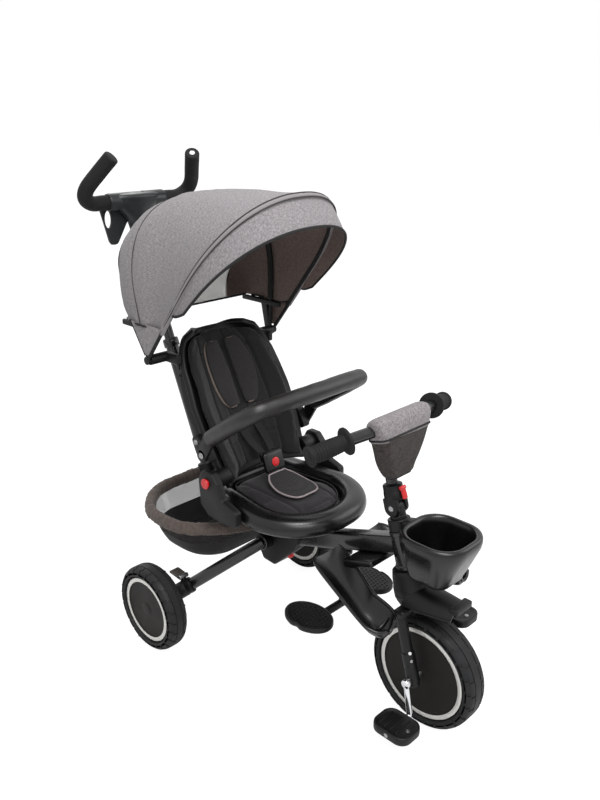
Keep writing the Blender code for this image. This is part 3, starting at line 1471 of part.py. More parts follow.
def make_canopy_visor():
    """The stiff cloth brim ahead of the front bow, with a rounded flap at each side."""
    rows = []
    for share in (0.0, 0.5, 1.0):
        lean = BOW_LEAN + (VISOR_LEAN - BOW_LEAN) * share
        length = BOW_LENGTH + (VISOR_LENGTH - BOW_LENGTH) * share
        start = 0.150 + 0.030 * share ** 2
        shift = 0.0050 * (1 - share)
        rows.append([
            arch_point(s, lean, length, CANOPY_PIVOT.x, 0.215, start, shift) for s in ARCH_SHARES
        ])
    return finished(sheet("canopy_visor", rows, CANOPY_CLOTH, 1.0), CANOPY_CLOTH_GREY)


def make_canopy_clamp(sign):
    """The clamp on the panel's shoulder, with the arm under the hood's side and the bow's pivot."""
    name = mirrored_name("canopy_clamp", sign)
    y = CANOPY_PIVOT.y
    z = CANOPY_PIVOT.z
    grip_point = back_point(1.0, z)
    inner = between(BACK_WIDTHS, z - 0.011) + 0.0030
    outer = CANOPY_PIVOT.x - 0.004 - GAP
    pivot = rod(name, (sign * inner, y, z), (sign * outer, y, z), 0.011, sides=16)
    jaw_place = (sign * (inner + 0.006), (y + grip_point.y) / 2, z)
    jaw = block("jaw", (0.012, y - grip_point.y, 0.022), jaw_place, edge=0.002)
    upright_place = (sign * 0.1745, y + 0.012, z + 0.035)
    upright = block("upright", (0.008, 0.018, 0.070), upright_place, math.radians(-12.0))
    arm_top = CANOPY_EDGE_Z - 0.002
    arm = block(
        "arm", (0.009, 0.130, 0.012), (sign * 0.1742, y + 0.031, arm_top - 0.006), edge=0.002,
    )
    return finished(cut(joined(pivot, jaw, upright, arm), make_panel_space()), SATIN_BLACK)


# Push handle

def make_push_tube_upper():
    upper = rod("push_tube_upper", along_push(0.190), along_push(PUSH_TUBE_END), PUSH_INNER_RADIUS, sides=16)
    return finished(upper, TUBE_PAINT)


def push_hub_ring(height, half_x, half_y, shift):
    """A level oval cross section of the push handle's hub, at a height above the tube's end."""
    centre = HORN_PLACE.y + shift
    z = HORN_PLACE.z - 0.048 + height
    return [
        (half_x * math.cos(2 * math.pi * i / 20), centre + half_y * math.sin(2 * math.pi * i / 20), z)
        for i in range(20)
    ]


def horn_path():
    """The bull-horn bar's centre line: out of the hub at each side, then in, forward and up."""
    half = [HORN_PLACE + Vector((0.085, 0.0, 0.0)), HORN_BEND, HORN_TIP]
    right = [mirrored_point(point, -1.0) for point in half[::-1]]
    return arc_path(right + half, 0.034, 5)


def make_hook_loop():
    """The flat ear under the hub's right side, with an oval hole for the hook of a bag."""
    outline = softened([
        (-0.100, 0.006), (-0.020, 0.006), (-0.016, -0.040), (-0.052, -0.100), (-0.072, -0.100),
    ], 0.008)
    hole_outline = [(across - 0.074, along - 0.040) for across, along in oval(0.009, 0.020, 20)]
    loop = cut(plate("loop", outline, 0.006, upright=False), plate("hole", hole_outline, 0.02, upright=False))
    place = HORN_PLACE + Vector((0.0, 0.010, 0.0))
    loop.matrix_world = Matrix.Translation(place) @ Matrix.Rotation(math.pi / 2, 4, "X")
    return loop


def make_push_hub():
    """The moulded head of the push handle: a funnel, an oval lid, two horn sockets and a hook loop."""
    head = loft("push_hub", [
        push_hub_ring(-0.024, 0.0185, 0.0185, -0.004),
        push_hub_ring(0.000, 0.022, 0.022, 0.004),
        push_hub_ring(0.022, 0.042, 0.027, 0.004),
        push_hub_ring(0.040, 0.066, 0.030, 0.003),
        push_hub_ring(0.058, 0.071, 0.031, 0.002),
        push_hub_ring(0.066, 0.058, 0.024, 0.001),
    ])
    y, z = HORN_PLACE.yz
    horns = rod("horns", (-0.078, y, z), (0.078, y, z), HORN_RADIUS + 0.003, sides=20)
    horn_bore = tube("horn_bore", horn_path(), HORN_RADIUS + GAP, 3)
    bore = rod(
        "bore", along_push(PUSH_TUBE_END - 0.08), along_push(PUSH_TUBE_END + GAP), PUSH_INNER_RADIUS + GAP,
        sides=16,
    )
    return finished(cut(joined(head, horns, make_hook_loop()), bore, horn_bore), HUB_GREY)


def make_push_grip():
    """The foam-covered bull-horn bar that runs through the hub."""
    return finished(tube("push_grip", horn_path(), HORN_RADIUS, 3), RUBBER)


def build_frame(root):
    for make in (make_main_beam, make_centre_hub, make_push_socket, make_leg_rest, make_basket_rim,
                 make_basket_bag, make_push_tube_lower):
        carried(make(), root)
    carried(make_fold_button(), axis_empty("fold_button_axis", FOLD_BUTTON_PLACE, root))
    carried(make_foot_rest(), axis_empty("foot_rest_axis", FOOT_PIVOT, root))


def build_rear(root):
    axis = axis_empty("rear_frame_axis", BARREL_PLACE, root)
    carried(make_rear_frame(), axis)
    for sign in (-1.0, 1.0):
        carried(make_rear_sleeve(sign), axis)
        brake_axis = axis_empty(mirrored_name("brake_axis", sign), mirrored_point(BRAKE_PIVOT, sign), axis)
        carried(make_brake_lever(sign), brake_axis)
        centre = mirrored_point(REAR_WHEEL_CENTRE, sign)
        wheel_axis = axis_empty(mirrored_name("rear_wheel_axis", sign), centre, axis)
        for piece in make_wheel(
            mirrored_name("rear_tyre", sign), mirrored_name("rear_wheel", sign), centre, REAR_WHEEL_RADIUS,
            REAR_RIM_RADIUS, REAR_RING_RADIUS, REAR_TYRE_WIDTH, 0.015, 28,
        ):
            carried(piece, wheel_axis)


def build_steering(root):
    axis = axis_empty("steering_axis", FRONT_AXLE, root, -STEER_TILT)
    for make in (make_fork, make_steering_column, make_fender, make_tray):
        carried(make(), axis)
    button_place = steered(*fork_button_point(0.0))
    carried(make_fork_button(), axis_empty("fork_button_axis", button_place, axis))
    fold_axis = axis_empty("handlebar_axis", steered(0, 0, KNUCKLE_PIVOT), axis)
    carried(make_stem_socket(), fold_axis)
    carried(finished(into_steering(make_handlebar()), TUBE_PAINT), fold_axis)
    for sign in (-1.0, 1.0):
        carried(make_grip(sign), fold_axis)
    carried(make_handlebar_pouch(), fold_axis)
    carried(make_stem_lever(), axis_empty("stem_lever_axis", steered(*STEM_LEVER_PIVOT), fold_axis))
    wheel_axis = axis_empty("front_wheel_axis", FRONT_AXLE, axis)
    for piece in make_wheel(
        "front_tyre", "front_wheel", FRONT_AXLE, FRONT_WHEEL_RADIUS, FRONT_RIM_RADIUS, FRONT_RING_RADIUS,
        FRONT_TYRE_WIDTH, 0.013, 32,
    ):
        carried(piece, wheel_axis)
    carried(make_crank(), wheel_axis)
    for sign in (-1.0, 1.0):
        pedal_axis = axis_empty(mirrored_name("pedal_axis", sign), pedal_pin(sign), wheel_axis)
        carried(make_pedal(sign), pedal_axis)


def build_seat(root):
    seat_axis = axis_empty("seat_axis", (0.0, SEAT_AXIS_Y, TURNTABLE_TOP), root)
    for make in (make_seat_shell, make_seat_pad, make_crotch_pad, make_buckle):
        carried(make(), seat_axis)
    for sign in (-1.0, 1.0):
        carried(make_seat_bracket(sign), seat_axis)
        button_axis = axis_empty(
            mirrored_name("recline_button_axis", sign), (sign * SEAT_HALF_WIDTH, HINGE_Y, HINGE_Z), seat_axis,
        )
        carried(make_recline_button(sign), button_axis)
    carried(make_buckle_button(), axis_empty("buckle_button_axis", BUCKLE_PLACE, seat_axis))
    back_axis = axis_empty("backrest_axis", (0.0, HINGE_Y, HINGE_Z), seat_axis)
    for make in (make_backrest_shell, make_backrest_pad, make_harness, make_back_pocket, make_canopy):
        carried(make(), back_axis)
    for sign in (-1.0, 1.0):
        carried(make_canopy_clamp(sign), back_axis)
        carried(make_guard_socket(sign), back_axis)
        guard_axis = axis_empty(
            mirrored_name("guard_button_axis", sign), (sign * GUARD_PIVOT.x, -0.064, 0.496), back_axis,
        )
        carried(make_guard_button(sign), guard_axis)
    carried(make_guard_bar(), axis_empty("guard_axis", (0.0, *GUARD_PIVOT.yz), back_axis))
    canopy_axis = axis_empty("canopy_axis", (0.0, *CANOPY_PIVOT.yz), back_axis)
    carried(make_canopy_bow(), canopy_axis)
    carried(make_canopy_visor(), canopy_axis)


def build_push_handle(root):
    axis = axis_empty("push_handle_axis", PUSH_BASE, root)
    carried(make_push_tube_upper(), axis)
    carried(make_push_hub(), axis)
    carried(make_push_grip(), axis)


def build_tricycle():
    root = axis_empty("tricycle", (0.0, 0.0, 0.0))
    build_frame(root)
    build_rear(root)
    build_steering(root)
    build_seat(root)
    build_push_handle(root)
    root.location.y = REAR_AXLE_Y


build_tricycle()
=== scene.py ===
"""Looks of a folding toddler tricycle, laid out as a Blender add-on and run as a script.

Everything is in metres. Places are written from the ground point under the rear axle, and the
function at() moves them into the frame of the packed model.
"""

from math import atan2, copysign, cos, exp, hypot, pi, radians, sin, tan

import bmesh
import bpy
from bpy.props import FloatProperty, PointerProperty, StringProperty
from mathutils import Matrix, Vector, noise


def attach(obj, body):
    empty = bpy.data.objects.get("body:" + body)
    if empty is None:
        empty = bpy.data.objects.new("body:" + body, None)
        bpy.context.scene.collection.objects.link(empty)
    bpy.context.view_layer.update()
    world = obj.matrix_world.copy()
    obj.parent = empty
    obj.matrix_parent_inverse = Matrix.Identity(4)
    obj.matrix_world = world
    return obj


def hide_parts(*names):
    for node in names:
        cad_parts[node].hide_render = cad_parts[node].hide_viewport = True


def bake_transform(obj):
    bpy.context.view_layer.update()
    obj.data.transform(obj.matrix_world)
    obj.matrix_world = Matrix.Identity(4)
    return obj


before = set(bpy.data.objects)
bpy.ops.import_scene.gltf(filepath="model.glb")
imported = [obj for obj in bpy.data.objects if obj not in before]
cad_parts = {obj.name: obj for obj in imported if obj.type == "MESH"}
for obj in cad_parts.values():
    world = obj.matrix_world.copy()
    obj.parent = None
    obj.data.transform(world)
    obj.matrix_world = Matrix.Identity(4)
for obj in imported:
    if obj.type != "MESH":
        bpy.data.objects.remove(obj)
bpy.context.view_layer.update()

bl_info = {
    "name": "Folding toddler tricycle",
    "version": (1, 0, 0),
    "blender": (4, 5, 0),
    "location": "3D View > Sidebar > Tricycle",
    "description": "Models and dresses the tricycle's pieces over its packed frame",
    "category": "Object",
}

AXLE_Y = 0.1725
SIDES = (("_right", -1), ("_left", 1))

# Steering line, from the front axle up
FRONT_AXLE = (0, -0.583, 0.12)
STEER_TILT = radians(16.4)
CROWN_BASE = 0.136
COLLAR_BASE = 0.165
HEAD_BASE = 0.2138
HEAD_TOP = 0.292
KNUCKLE_PIVOT = 0.339
BAR_HEIGHT = 0.508
BAR_FORWARD = 0.045
STEM_RADIUS = 0.0115
GRIP_START = Vector((0.125, -0.027, 0.5067))
GRIP_END = Vector((0.202, 0.0004, 0.498))
TRAY_Y = -0.595
CRANK_OFFSET = 0.0665
PEDAL_REACH = Vector((0, 0.012, 0.07))

# Beam, hub and legs
BEAM_TILT = radians(18.9)
BEAM_TOP = Vector((0, -0.347, 0.337))
BARREL = Vector((0, -0.15, 0.245))
REAR_WHEEL = Vector((0.243, 0, 0.0995))
LEG_START = Vector((0.04, BARREL.y, BARREL.z))
LEG_END = Vector((0.205, -0.01, 0.1095))
BRAKE_PIVOT = Vector((0.178, -0.03, 0.163))

# Push handle
PUSH_BASE = Vector((0, 0.055, 0.262))
PUSH_LEAN = radians(23.3)
HORN_PLACE = Vector((0, 0.325, 0.957))
HORN_RADIUS = 0.0172

# Seat and backrest
HINGE = Vector((0, -0.116, 0.423))
BACK_LINE = [(0.4, -0.088), (0.5, -0.04), (0.607, 0.015), (0.7, 0.071)]
BACK_WIDTHS = [
    (0.4, 0.112), (0.44, 0.124), (0.5, 0.134), (0.56, 0.137), (0.64, 0.128), (0.665, 0.12), (0.68, 0.111),
    (0.69, 0.1), (0.697, 0.086), (0.7, 0.07),
]
GUARD_PIVOT = Vector((0.1523, -0.09, 0.475))
BUCKLE_PLACE = Vector((0, -0.143, 0.428))
BUCKLE_TILT = radians(-18)
PANEL_THICKNESS = 0.012
PAD_FRONT = 0.0158  # how far the swollen back pad stands before the panel
SEAT_LINE = 0.3543  # the dish's floor under the seat pad

# Hood
HOOD_PIVOT = Vector((0.1835, 0.048, 0.66))
HOOD_EDGE = 0.735
BOW_LEAN = 38
VISOR_LEAN = 46.5


# Colours and finishes

def linear(code):
    """Turn an sRGB hex colour into linear values with an alpha of 1."""
    channels = [int(code[i:i + 2], 16) / 255 for i in (1, 3, 5)]
    return (*(c / 12.92 if c <= 0.04045 else ((c + 0.055) / 1.055) ** 2.4 for c in channels), 1)


def feed(tree, node, links):
    """Link outputs of other nodes to a node's inputs."""
    for key, output in links.items():
        tree.links.new(output, node.inputs[key])


def add_node(tree, kind, settings=None, links=None):
    """Add a node, set its properties and inputs, and feed its inputs from other nodes."""
    node = tree.nodes.new(kind)
    for key, value in (settings or {}).items():
        if isinstance(key, str) and hasattr(node, key):
            setattr(node, key, value)
        else:
            node.inputs[key].default_value = value
    feed(tree, node, links or {})
    return node


def per(millimetres):
    """The texture scale that repeats once in a number of millimetres."""
    return 1000 / millimetres


def threads(millimetres):
    """The wave scale that repeats once in a number of millimetres."""
    return 2 * pi / 20 * 1000 / millimetres


def blank_finish(name, roughness, **settings):
    material = bpy.data.materials.new(name)
    material.use_nodes = True
    tree = material.node_tree
    shader = tree.nodes["Principled BSDF"]
    shader.inputs["Roughness"].default_value = roughness
    for key, value in settings.items():
        shader.inputs[key.replace("_", " ")].default_value = value
    place = add_node(tree, "ShaderNodeTexCoord")
    return material, tree, shader, place


def moulded(name, dark, light, roughness, grain, depth, spread=0.08, blotch=70, **settings):
    """A moulded or coated skin: fine grain in the bump, slow changes in colour and gloss."""
    material, tree, shader, place = blank_finish(name, roughness, **settings)
    where = {"Vector": place.outputs["Object"]}
    slow = add_node(tree, "ShaderNodeTexNoise", {"Scale": per(blotch), "Detail": 3}, where).outputs["Fac"]
    fine = add_node(tree, "ShaderNodeTexNoise", {"Scale": per(grain), "Detail": 4}, where).outputs["Fac"]
    tones = {"data_type": "RGBA", 6: linear(dark), 7: linear(light)}
    colour = add_node(tree, "ShaderNodeMix", tones, {0: slow})
    run = {"From Min": 0.3, "From Max": 0.7, "To Min": roughness - spread, "To Max": roughness + spread}
    gloss = add_node(tree, "ShaderNodeMapRange", run, {"Value": slow})
    bump = add_node(tree, "ShaderNodeBump", {"Strength": 0.6, "Distance": depth}, {"Height": fine})
    feed(tree, shader, {
        "Base Color": colour.outputs[2], "Roughness": gloss.outputs[0], "Normal": bump.outputs[0],
    })
    return material


def woven(name, dark, light, thread, depth, speckle=2.2, follow="Object", **settings):
    """Plain woven cloth: warp and weft as crossing waves, and speckled yarn in two tones.

    Threads repeat every 1 to 2 mm, coarser than the 0.3 to 0.5 mm of real cloth, so that the
    weave still shows at the size of a picture.
    """
    material, tree, shader, place = blank_finish(name, 0.92, **settings)
    where = {"Vector": place.outputs[follow]}
    waves = {"Scale": threads(thread), "Distortion": 0.6}
    second = "Y" if follow == "UV" else "Z"
    warp = add_node(tree, "ShaderNodeTexWave", {"bands_direction": "X", **waves}, where)
    weft = add_node(tree, "ShaderNodeTexWave", {"bands_direction": second, **waves}, where)
    crossing = {0: warp.outputs["Fac"], 1: weft.outputs["Fac"]}
    height = add_node(tree, "ShaderNodeMath", {"operation": "MAXIMUM"}, crossing)
    yarns = {}
    for index, stretch in enumerate(((1, 5, 5), (5, 1, 1))):
        drawn = add_node(tree, "ShaderNodeMapping", {"Scale": stretch}, where)
        spots = {"Scale": per(speckle * 3), "Detail": 2}
        yarn = add_node(tree, "ShaderNodeTexNoise", spots, {"Vector": drawn.outputs[0]})
        yarns[index] = yarn.outputs["Fac"]
    both = add_node(tree, "ShaderNodeMath", {"operation": "ADD"}, yarns)
    share = add_node(
        tree, "ShaderNodeMapRange", {"From Min": 0.72, "From Max": 1.28}, {"Value": both.outputs[0]},
    )
    tones = {"data_type": "RGBA", 6: linear(dark), 7: linear(light)}
    colour = add_node(tree, "ShaderNodeMix", tones, {0: share.outputs[0]})
    bump = add_node(
        tree, "ShaderNodeBump", {"Strength": 0.7, "Distance": depth}, {"Height": height.outputs[0]},
    )
    feed(tree, shader, {"Base Color": colour.outputs[2], "Normal": bump.outputs[0]})
    return material


def net(name, dark, light, hole, cover):
    """Knitted net: threads in two directions with open holes between them."""
    material, tree, shader, place = blank_finish(name, 0.85)
    lines = {}
    for index, axis in enumerate("XY"):
        waves = {"bands_direction": axis, "Scale": threads(hole)}
        line = add_node(tree, "ShaderNodeTexWave", waves, {"Vector": place.outputs["UV"]})
        lines[index] = line.outputs["Fac"]
    height = add_node(tree, "ShaderNodeMath", {"operation": "MAXIMUM"}, lines).outputs[0]
    tones = {"data_type": "RGBA", 6: linear(dark), 7: linear(light)}
    colour = add_node(tree, "ShaderNodeMix", tones, {0: height})
    run = {"From Min": 0.8, "From Max": 0.97, "To Min": cover, "To Max": 1}
    solid = add_node(tree, "ShaderNodeMapRange", run, {"Value": height})
    bump = add_node(tree, "ShaderNodeBump", {"Strength": 0.8, "Distance": 0.0006}, {"Height": height})
    feed(tree, shader, {
        "Base Color": colour.outputs[2], "Alpha": solid.outputs[0], "Normal": bump.outputs[0],
    })
    return material


def leatherette(name, dark, light):
    """Coated cloth: pebbled grain of about 2 mm with a soft, broken shine."""
    material, tree, shader, place = blank_finish(name, 0.42)
    where = {"Vector": place.outputs["Object"]}
    pebble = add_node(tree, "ShaderNodeTexVoronoi", {"feature": "SMOOTH_F1", "Scale": per(2.2)}, where)
    slow = add_node(tree, "ShaderNodeTexNoise", {"Scale": per(45), "Detail": 3}, where).outputs["Fac"]
    tones = {"data_type": "RGBA", 6: linear(dark), 7: linear(light)}
    colour = add_node(tree, "ShaderNodeMix", tones, {0: slow})
    gloss = add_node(tree, "ShaderNodeMapRange", {"To Min": 0.34, "To Max": 0.52}, {"Value": slow})
    relief = {"Height": pebble.outputs["Distance"]}
    bump = add_node(tree, "ShaderNodeBump", {"Strength": 0.5, "Distance": 0.0004}, relief)
    feed(tree, shader, {
        "Base Color": colour.outputs[2], "Roughness": gloss.outputs[0], "Normal": bump.outputs[0],
    })
    return material


# Each finish with its slot, the function that makes it and what that is given. A colour without
# a hash sign is the name of a colour in the panel; a dictionary at the end holds shader settings.
FINISHES = {
    # Sprayed black enamel on steel tube: a sharp shine with slight orange peel.
    "black_enamel": ("painted_tube", moulded, "enamel", "#0b0b0c", 0.26, 3, 0.00008,
                     {"Coat_Weight": 0.3, "Coat_Roughness": 0.12}),
    # Spark-eroded black ABS: a fine even grain that breaks the highlight.
    "satin_abs": ("satin_plastic", moulded, "satin", "#101011", 0.46, 1.6, 0.00014,
                  {"Specular_IOR_Level": 0.28}),
    # Polished black ABS: long soft highlights, a few flow marks.
    "gloss_abs": ("gloss_plastic", moulded, "gloss", "#0b0b0c", 0.27, 5, 0.00005, 0.04,
                  {"Specular_IOR_Level": 0.45}),
    # Moulded EVA foam: closed matt skin, dusty where it rolls.
    "eva_foam": ("foam_tyre", moulded, "foam", "#1b1c1d", 0.62, 1.8, 0.0003, 0.08, 25,
                 {"Specular_IOR_Level": 0.3}),
    # Dark brown-black wheel disc with a dull moulded skin.
    "disc_abs": ("gloss_plastic", moulded, "disc", "#1b1917", 0.6, 2, 0.00012, {"Specular_IOR_Level": 0.2}),
    # Hot-stamped silver foil ring: pale, half like metal, with a soft glint.
    "silver_ring": ("light_plastic", moulded, "#d6d5d1", "#c4c3bf", 0.3, 2.5, 0.00004, {"Metallic": 0.35}),
    # Bright red ABS of the catches: clear colour with a small soft highlight.
    "red_abs": ("red_plastic", moulded, "red", "#b8161c", 0.32, 2.5, 0.00008),
    # Mid-grey ABS of the guard's buttons: plain and half matt beside the black.
    "grey_abs": ("light_plastic", moulded, "#8c8c8e", "#7c7c7f", 0.45, 2, 0.0001),
    # Taupe-grey ABS of the brake pedals.
    "brake_abs": ("light_plastic", moulded, "#3b3632", "#4c4641", 0.5, 2, 0.0001),
    # Off-white ABS of plugs and rivets: small clean dots of light.
    "white_abs": ("light_plastic", moulded, "#e4e4e2", "#d0d0ce", 0.4, 2, 0.0001),
    # Dark slate ABS of the handle's head: satin, a little lighter than the frame's plastic.
    "hub_abs": ("hub_plastic", moulded, "hub", "#25282a", 0.36, 1.8, 0.0001, {"Specular_IOR_Level": 0.35}),
    # Foam rubber sleeve: open fine pores, almost no shine.
    "grip_foam": ("soft_grip", moulded, "grip", "#161617", 0.78, 1.4, 0.0004, 0.08, 30,
                  {"Specular_IOR_Level": 0.3}),
    # Bright nickel-chrome plating on the crank: a sharp mirror with hardly any grain.
    "chrome": ("chrome_steel", moulded, "#e2e3e5", "#d2d3d6", 0.1, 6, 0.00004, 0.05, {"Metallic": 1}),
    # Zinc-plated bolts: dull grey metal that catches a short glint.
    "zinc_bolt": ("chrome_steel", moulded, "#a9aaac", "#8f9092", 0.34, 1.5, 0.0001, {"Metallic": 1}),
    # Two-tone polyester linen: grey slub yarns that read as a fine speckle.
    "hood_linen": ("hood_fabric", woven, "#625e60", "hood", 1.4, 0.0003, 2.6, "UV", {"Sheen_Weight": 0.1}),
    # Painted shade on the hood's inside: the hood's cloth drawn in a darker, plainer taupe, since that side
    # lies in shade.
    "hood_lining": (None, woven, "#574b47", "lining", 1.4, 0.0002, 3, "UV"),
    # Taupe-black piping that closes the hood's seams.
    "seam_thread": ("dark_fabric", woven, "#2c2829", "#454041", 1, 0.0002, 2),
    # Black grosgrain tape on the edges: a thin, matt, nearly black line.
    "binding_tape": ("dark_fabric", woven, "#0f0e0e", "#1c1b1b", 1.2, 0.0003, 2),
    # Black spacer cloth on the backrest liner.
    "pad_cloth": ("dark_fabric", woven, "#060606", "pad", 1.5, 0.0004, 2.4, {"Sheen_Weight": 0.1}),
    # Dark linen on the seat, with a faint purple cast.
    "seat_cloth": ("dark_fabric", woven, "#131014", "seat", 1.6, 0.0004, 2.6, {"Sheen_Weight": 0.1}),
    # Charcoal linen of the shoulder and crotch pads: soft, with a faint bloom at grazing light.
    "strap_cloth": ("grey_fabric", woven, "#121011", "#201c1e", 1.5, 0.0004, 2.6, {"Sheen_Weight": 0.1}),
    # Pale grey piping that draws a light line round the crotch pad.
    "pale_piping": ("grey_fabric", woven, "#857a7a", "#a59a9c", 1, 0.0002, 2),
    # Taupe piping that outlines the shoulder pads.
    "taupe_piping": ("grey_fabric", woven, "#6a5e57", "#857870", 1, 0.0002, 2),
    # Light grey linen of the pouch's yoke, speckled like the hood.
    "pouch_linen": ("grey_fabric", woven, "#5e595b", "#918b8d", 1.5, 0.0003, 2.6, {"Sheen_Weight": 0.15}),
    # Brown-black spacer mesh of the pouch's front: open and grainy. Its cells of 2.2 mm are
    # drawn coarser than the real ones of about 1 mm.
    "pouch_mesh": ("grey_fabric", woven, "#1f1c1b", "#463f3c", 2.2, 0.0006, 3.2),
    # Taupe-brown linen sleeve, gathered on the basket's hoop.
    "rim_cloth": ("grey_fabric", woven, "#3c3430", "rim", 1.5, 0.0003, 2.6, {"Sheen_Weight": 0.1}),
    # Black knitted net that one sees through. Its holes are drawn coarser than real ones.
    "basket_net": ("dark_fabric", net, "#171414", "#2a2624", 1.6, 0.1),
    # White net of the hood's window: a bright veil that one can see through. Its holes are
    # drawn coarser than real ones.
    "window_net": (None, net, "#e6e6e0", "#f6f6f2", 1.2, 0.35),
    # Coated cloth of the guard bar: brown-black, pebbled, with a broken shine.
    "leatherette": ("guard_cover", leatherette, "leather", "#1a1817"),
    # Nylon webbing with a ribbed face.
    "webbing": ("dark_fabric", woven, "#070707", "#131212", 2, 0.0005, 3),
}


def make_finish(name):
    """Make one of the finishes, with the colours that the panel holds."""
    _, make, *given = FINISHES[name]
    settings = given.pop() if isinstance(given[-1], dict) else {}
    colours = bpy.context.scene.tricycle_colours
    codes = [code if code.startswith("#") else getattr(colours, code) for code in given[:2]]
    return make(name, *codes, *given[2:], **settings)


def finish(name):
    return bpy.data.materials.get(name) or make_finish(name)


# Modelling helpers

def at(x, y, z):
    """A point measured from the ground under the rear axle, in the packed frame."""
    return Vector((x, y + AXLE_Y, z))


def mirrored(point, sign):
    return Vector((point[0] * sign, point[1], point[2]))


STEERING = Matrix.Translation(at(*FRONT_AXLE)) @ Matrix.Rotation(-STEER_TILT, 4, "X")
STEER_UP = (STEERING.to_3x3() @ Vector((0, 0, 1))).normalized()


def steered(x, y, z):
    """A point of the raked steering frame, whose Z runs up from the front axle."""
    return STEERING @ Vector((x, y, z))


def between(table, key):
    """Read a value from a table of key and value pairs."""
    for (low, first), (high, last) in zip(table, table[1:]):
        if key <= high:
            return first + (last - first) * (key - low) / (high - low)
    return table[-1][1]


def eased(points, steps):
    """A smooth line through tuples of numbers, with a number of steps in each span."""
    points = [Vector(point) for point in points]
    padded = [points[0] * 2 - points[1], *points, points[-1] * 2 - points[-2]]
    line = []
    for before, start, end, after in zip(padded, padded[1:], padded[2:], padded[3:]):
        for step in range(steps):
            t = step / steps
            line.append(0.5 * (
                2 * start + (end - before) * t + (2 * before - 5 * start + 4 * end - after) * t ** 2
                + (3 * start - before - 3 * end + after) * t ** 3
            ))
    line.append(points[-1])
    return line


def arc(corner, inward, outward, radius, longest, steps):
    """The arc that rounds a corner between two ways out of it, no longer than it may be."""
    half = inward.angle(outward) / 2
    reach = min(radius / tan(half), *longest)
    radius = reach * tan(half)
    inward, outward = inward.normalized(), outward.normalized()
    centre = corner + (inward + outward).normalized() * (radius / sin(half))
    first = corner + inward * reach - centre
    last = corner + outward * reach - centre
    sweep = first.angle(last)
    points = []
    for step in range(steps + 1):
        share = step / steps
        points.append(centre + (first * sin((1 - share) * sweep) + last * sin(share * sweep)) / sin(sweep))
    return points


def bent(corners, bend, steps=10):
    """A path whose inner corners are arcs of one bend radius."""
    corners = [Vector(corner) for corner in corners]
    path = [corners[0]]
    for before, corner, after in zip(corners, corners[1:], corners[2:]):
        inward, outward = before - corner, after - corner
        path += arc(corner, inward, outward, bend, (inward.length * 0.45, outward.length * 0.45), steps)
    path.append(corners[-1])
    return path


def softened(outline, radius, steps=6):
    """A closed flat outline with every corner drawn as an arc."""
    result = []
    for index, corner in enumerate(outline):
        corner = Vector(corner)
        inward = Vector(outline[index - 1]) - corner
        outward = Vector(outline[(index + 1) % len(outline)]) - corner
        result += arc(corner, inward, outward, radius, (inward.length * 0.48, outward.length * 0.48), steps)
    return result


def rounded_rectangle(half_x, front, rear, corner, steps=6):
    return softened([(-half_x, front), (half_x, front), (half_x, rear), (-half_x, rear)], corner, steps)


def deselect():
    for thing in bpy.context.selected_objects:
        thing.select_set(False)


def only(piece):
    """Select one object alone and make it active."""
    deselect()
    piece.select_set(True)
    bpy.context.view_layer.objects.active = piece


def named(name):
    piece = bpy.context.object
    piece.name = name
    piece.data.name = name
    return piece


def with_modifier(piece, kind, **settings):
    only(piece)
    modifier = piece.modifiers.new(kind.lower(), kind)
    for key, value in settings.items():
        setattr(modifier, key, value)
    bpy.ops.object.modifier_apply(modifier=modifier.name)
    return piece


def rimmed(piece, width):
    """Round the sharp rims of a piece."""
    return with_modifier(
        piece, "BEVEL", width=width, segments=3, limit_method="ANGLE", angle_limit=radians(50),
    )


def pick(piece, kind, test):
    """In edit mode, select only the faces or edges that pass a test."""
    bpy.ops.mesh.select_all(action="DESELECT")
    work = bmesh.from_edit_mesh(piece.data)
    for part in getattr(work, kind):
        if test(part):
            part.select_set(True)
    work.select_flush_mode()
    bmesh.update_edit_mesh(piece.data)


def lofted(name, rings, ends=True, around=False):
    """Skin a row of rings: a circle laid on the first is extruded to each of the others."""
    deselect()
    bpy.ops.mesh.primitive_circle_add(vertices=len(rings[0]), radius=0.01)
    piece = named(name)
    bpy.ops.object.mode_set(mode="EDIT")
    bpy.ops.mesh.select_mode(type="VERT")
    bpy.ops.mesh.select_all(action="SELECT")
    work = bmesh.from_edit_mesh(piece.data)
    column = work.verts.layers.int.new("column")
    for index, vertex in enumerate(work.verts):
        vertex[column] = index
        vertex.co = rings[0][index]
    bmesh.update_edit_mesh(piece.data)
    for ring in rings[1:]:
        bpy.ops.mesh.extrude_region_move()
        work = bmesh.from_edit_mesh(piece.data)
        column = work.verts.layers.int["column"]
        for vertex in work.verts:
            if vertex.select:
                vertex.co = ring[vertex[column]]
        bmesh.update_edit_mesh(piece.data)
    if around:
        pick(piece, "edges", lambda edge: edge.is_boundary)
        bpy.ops.mesh.bridge_edge_loops()
    elif ends:
        bpy.ops.mesh.select_all(action="SELECT")
        bpy.ops.mesh.fill_holes(sides=0)
    bpy.ops.mesh.select_all(action="SELECT")
    bpy.ops.mesh.remove_doubles(threshold=0.000001)
    bpy.ops.mesh.normals_make_consistent(inside=False)
    bpy.ops.object.mode_set(mode="OBJECT")
    piece.data.attributes.remove(piece.data.attributes["column"])
    return piece


def tube_rings(path, radius, sides=28):
    """Rings along a path that don't twist. The radius is one number or one for each point."""
    path = [Vector(point) for point in path]
    radii = radius if hasattr(radius, "__len__") else [radius] * len(path)
    side = (path[1] - path[0]).orthogonal().normalized()
    rings = []
    for index, point in enumerate(path):
        tangent = (path[min(index + 1, len(path) - 1)] - path[max(index - 1, 0)]).normalized()
        side = (side - tangent * side.dot(tangent)).normalized()
        up = tangent.cross(side)
        turns = [2 * pi * i / sides for i in range(sides)]
        rings.append([point + (side * cos(t) + up * sin(t)) * radii[index] for t in turns])
    return rings


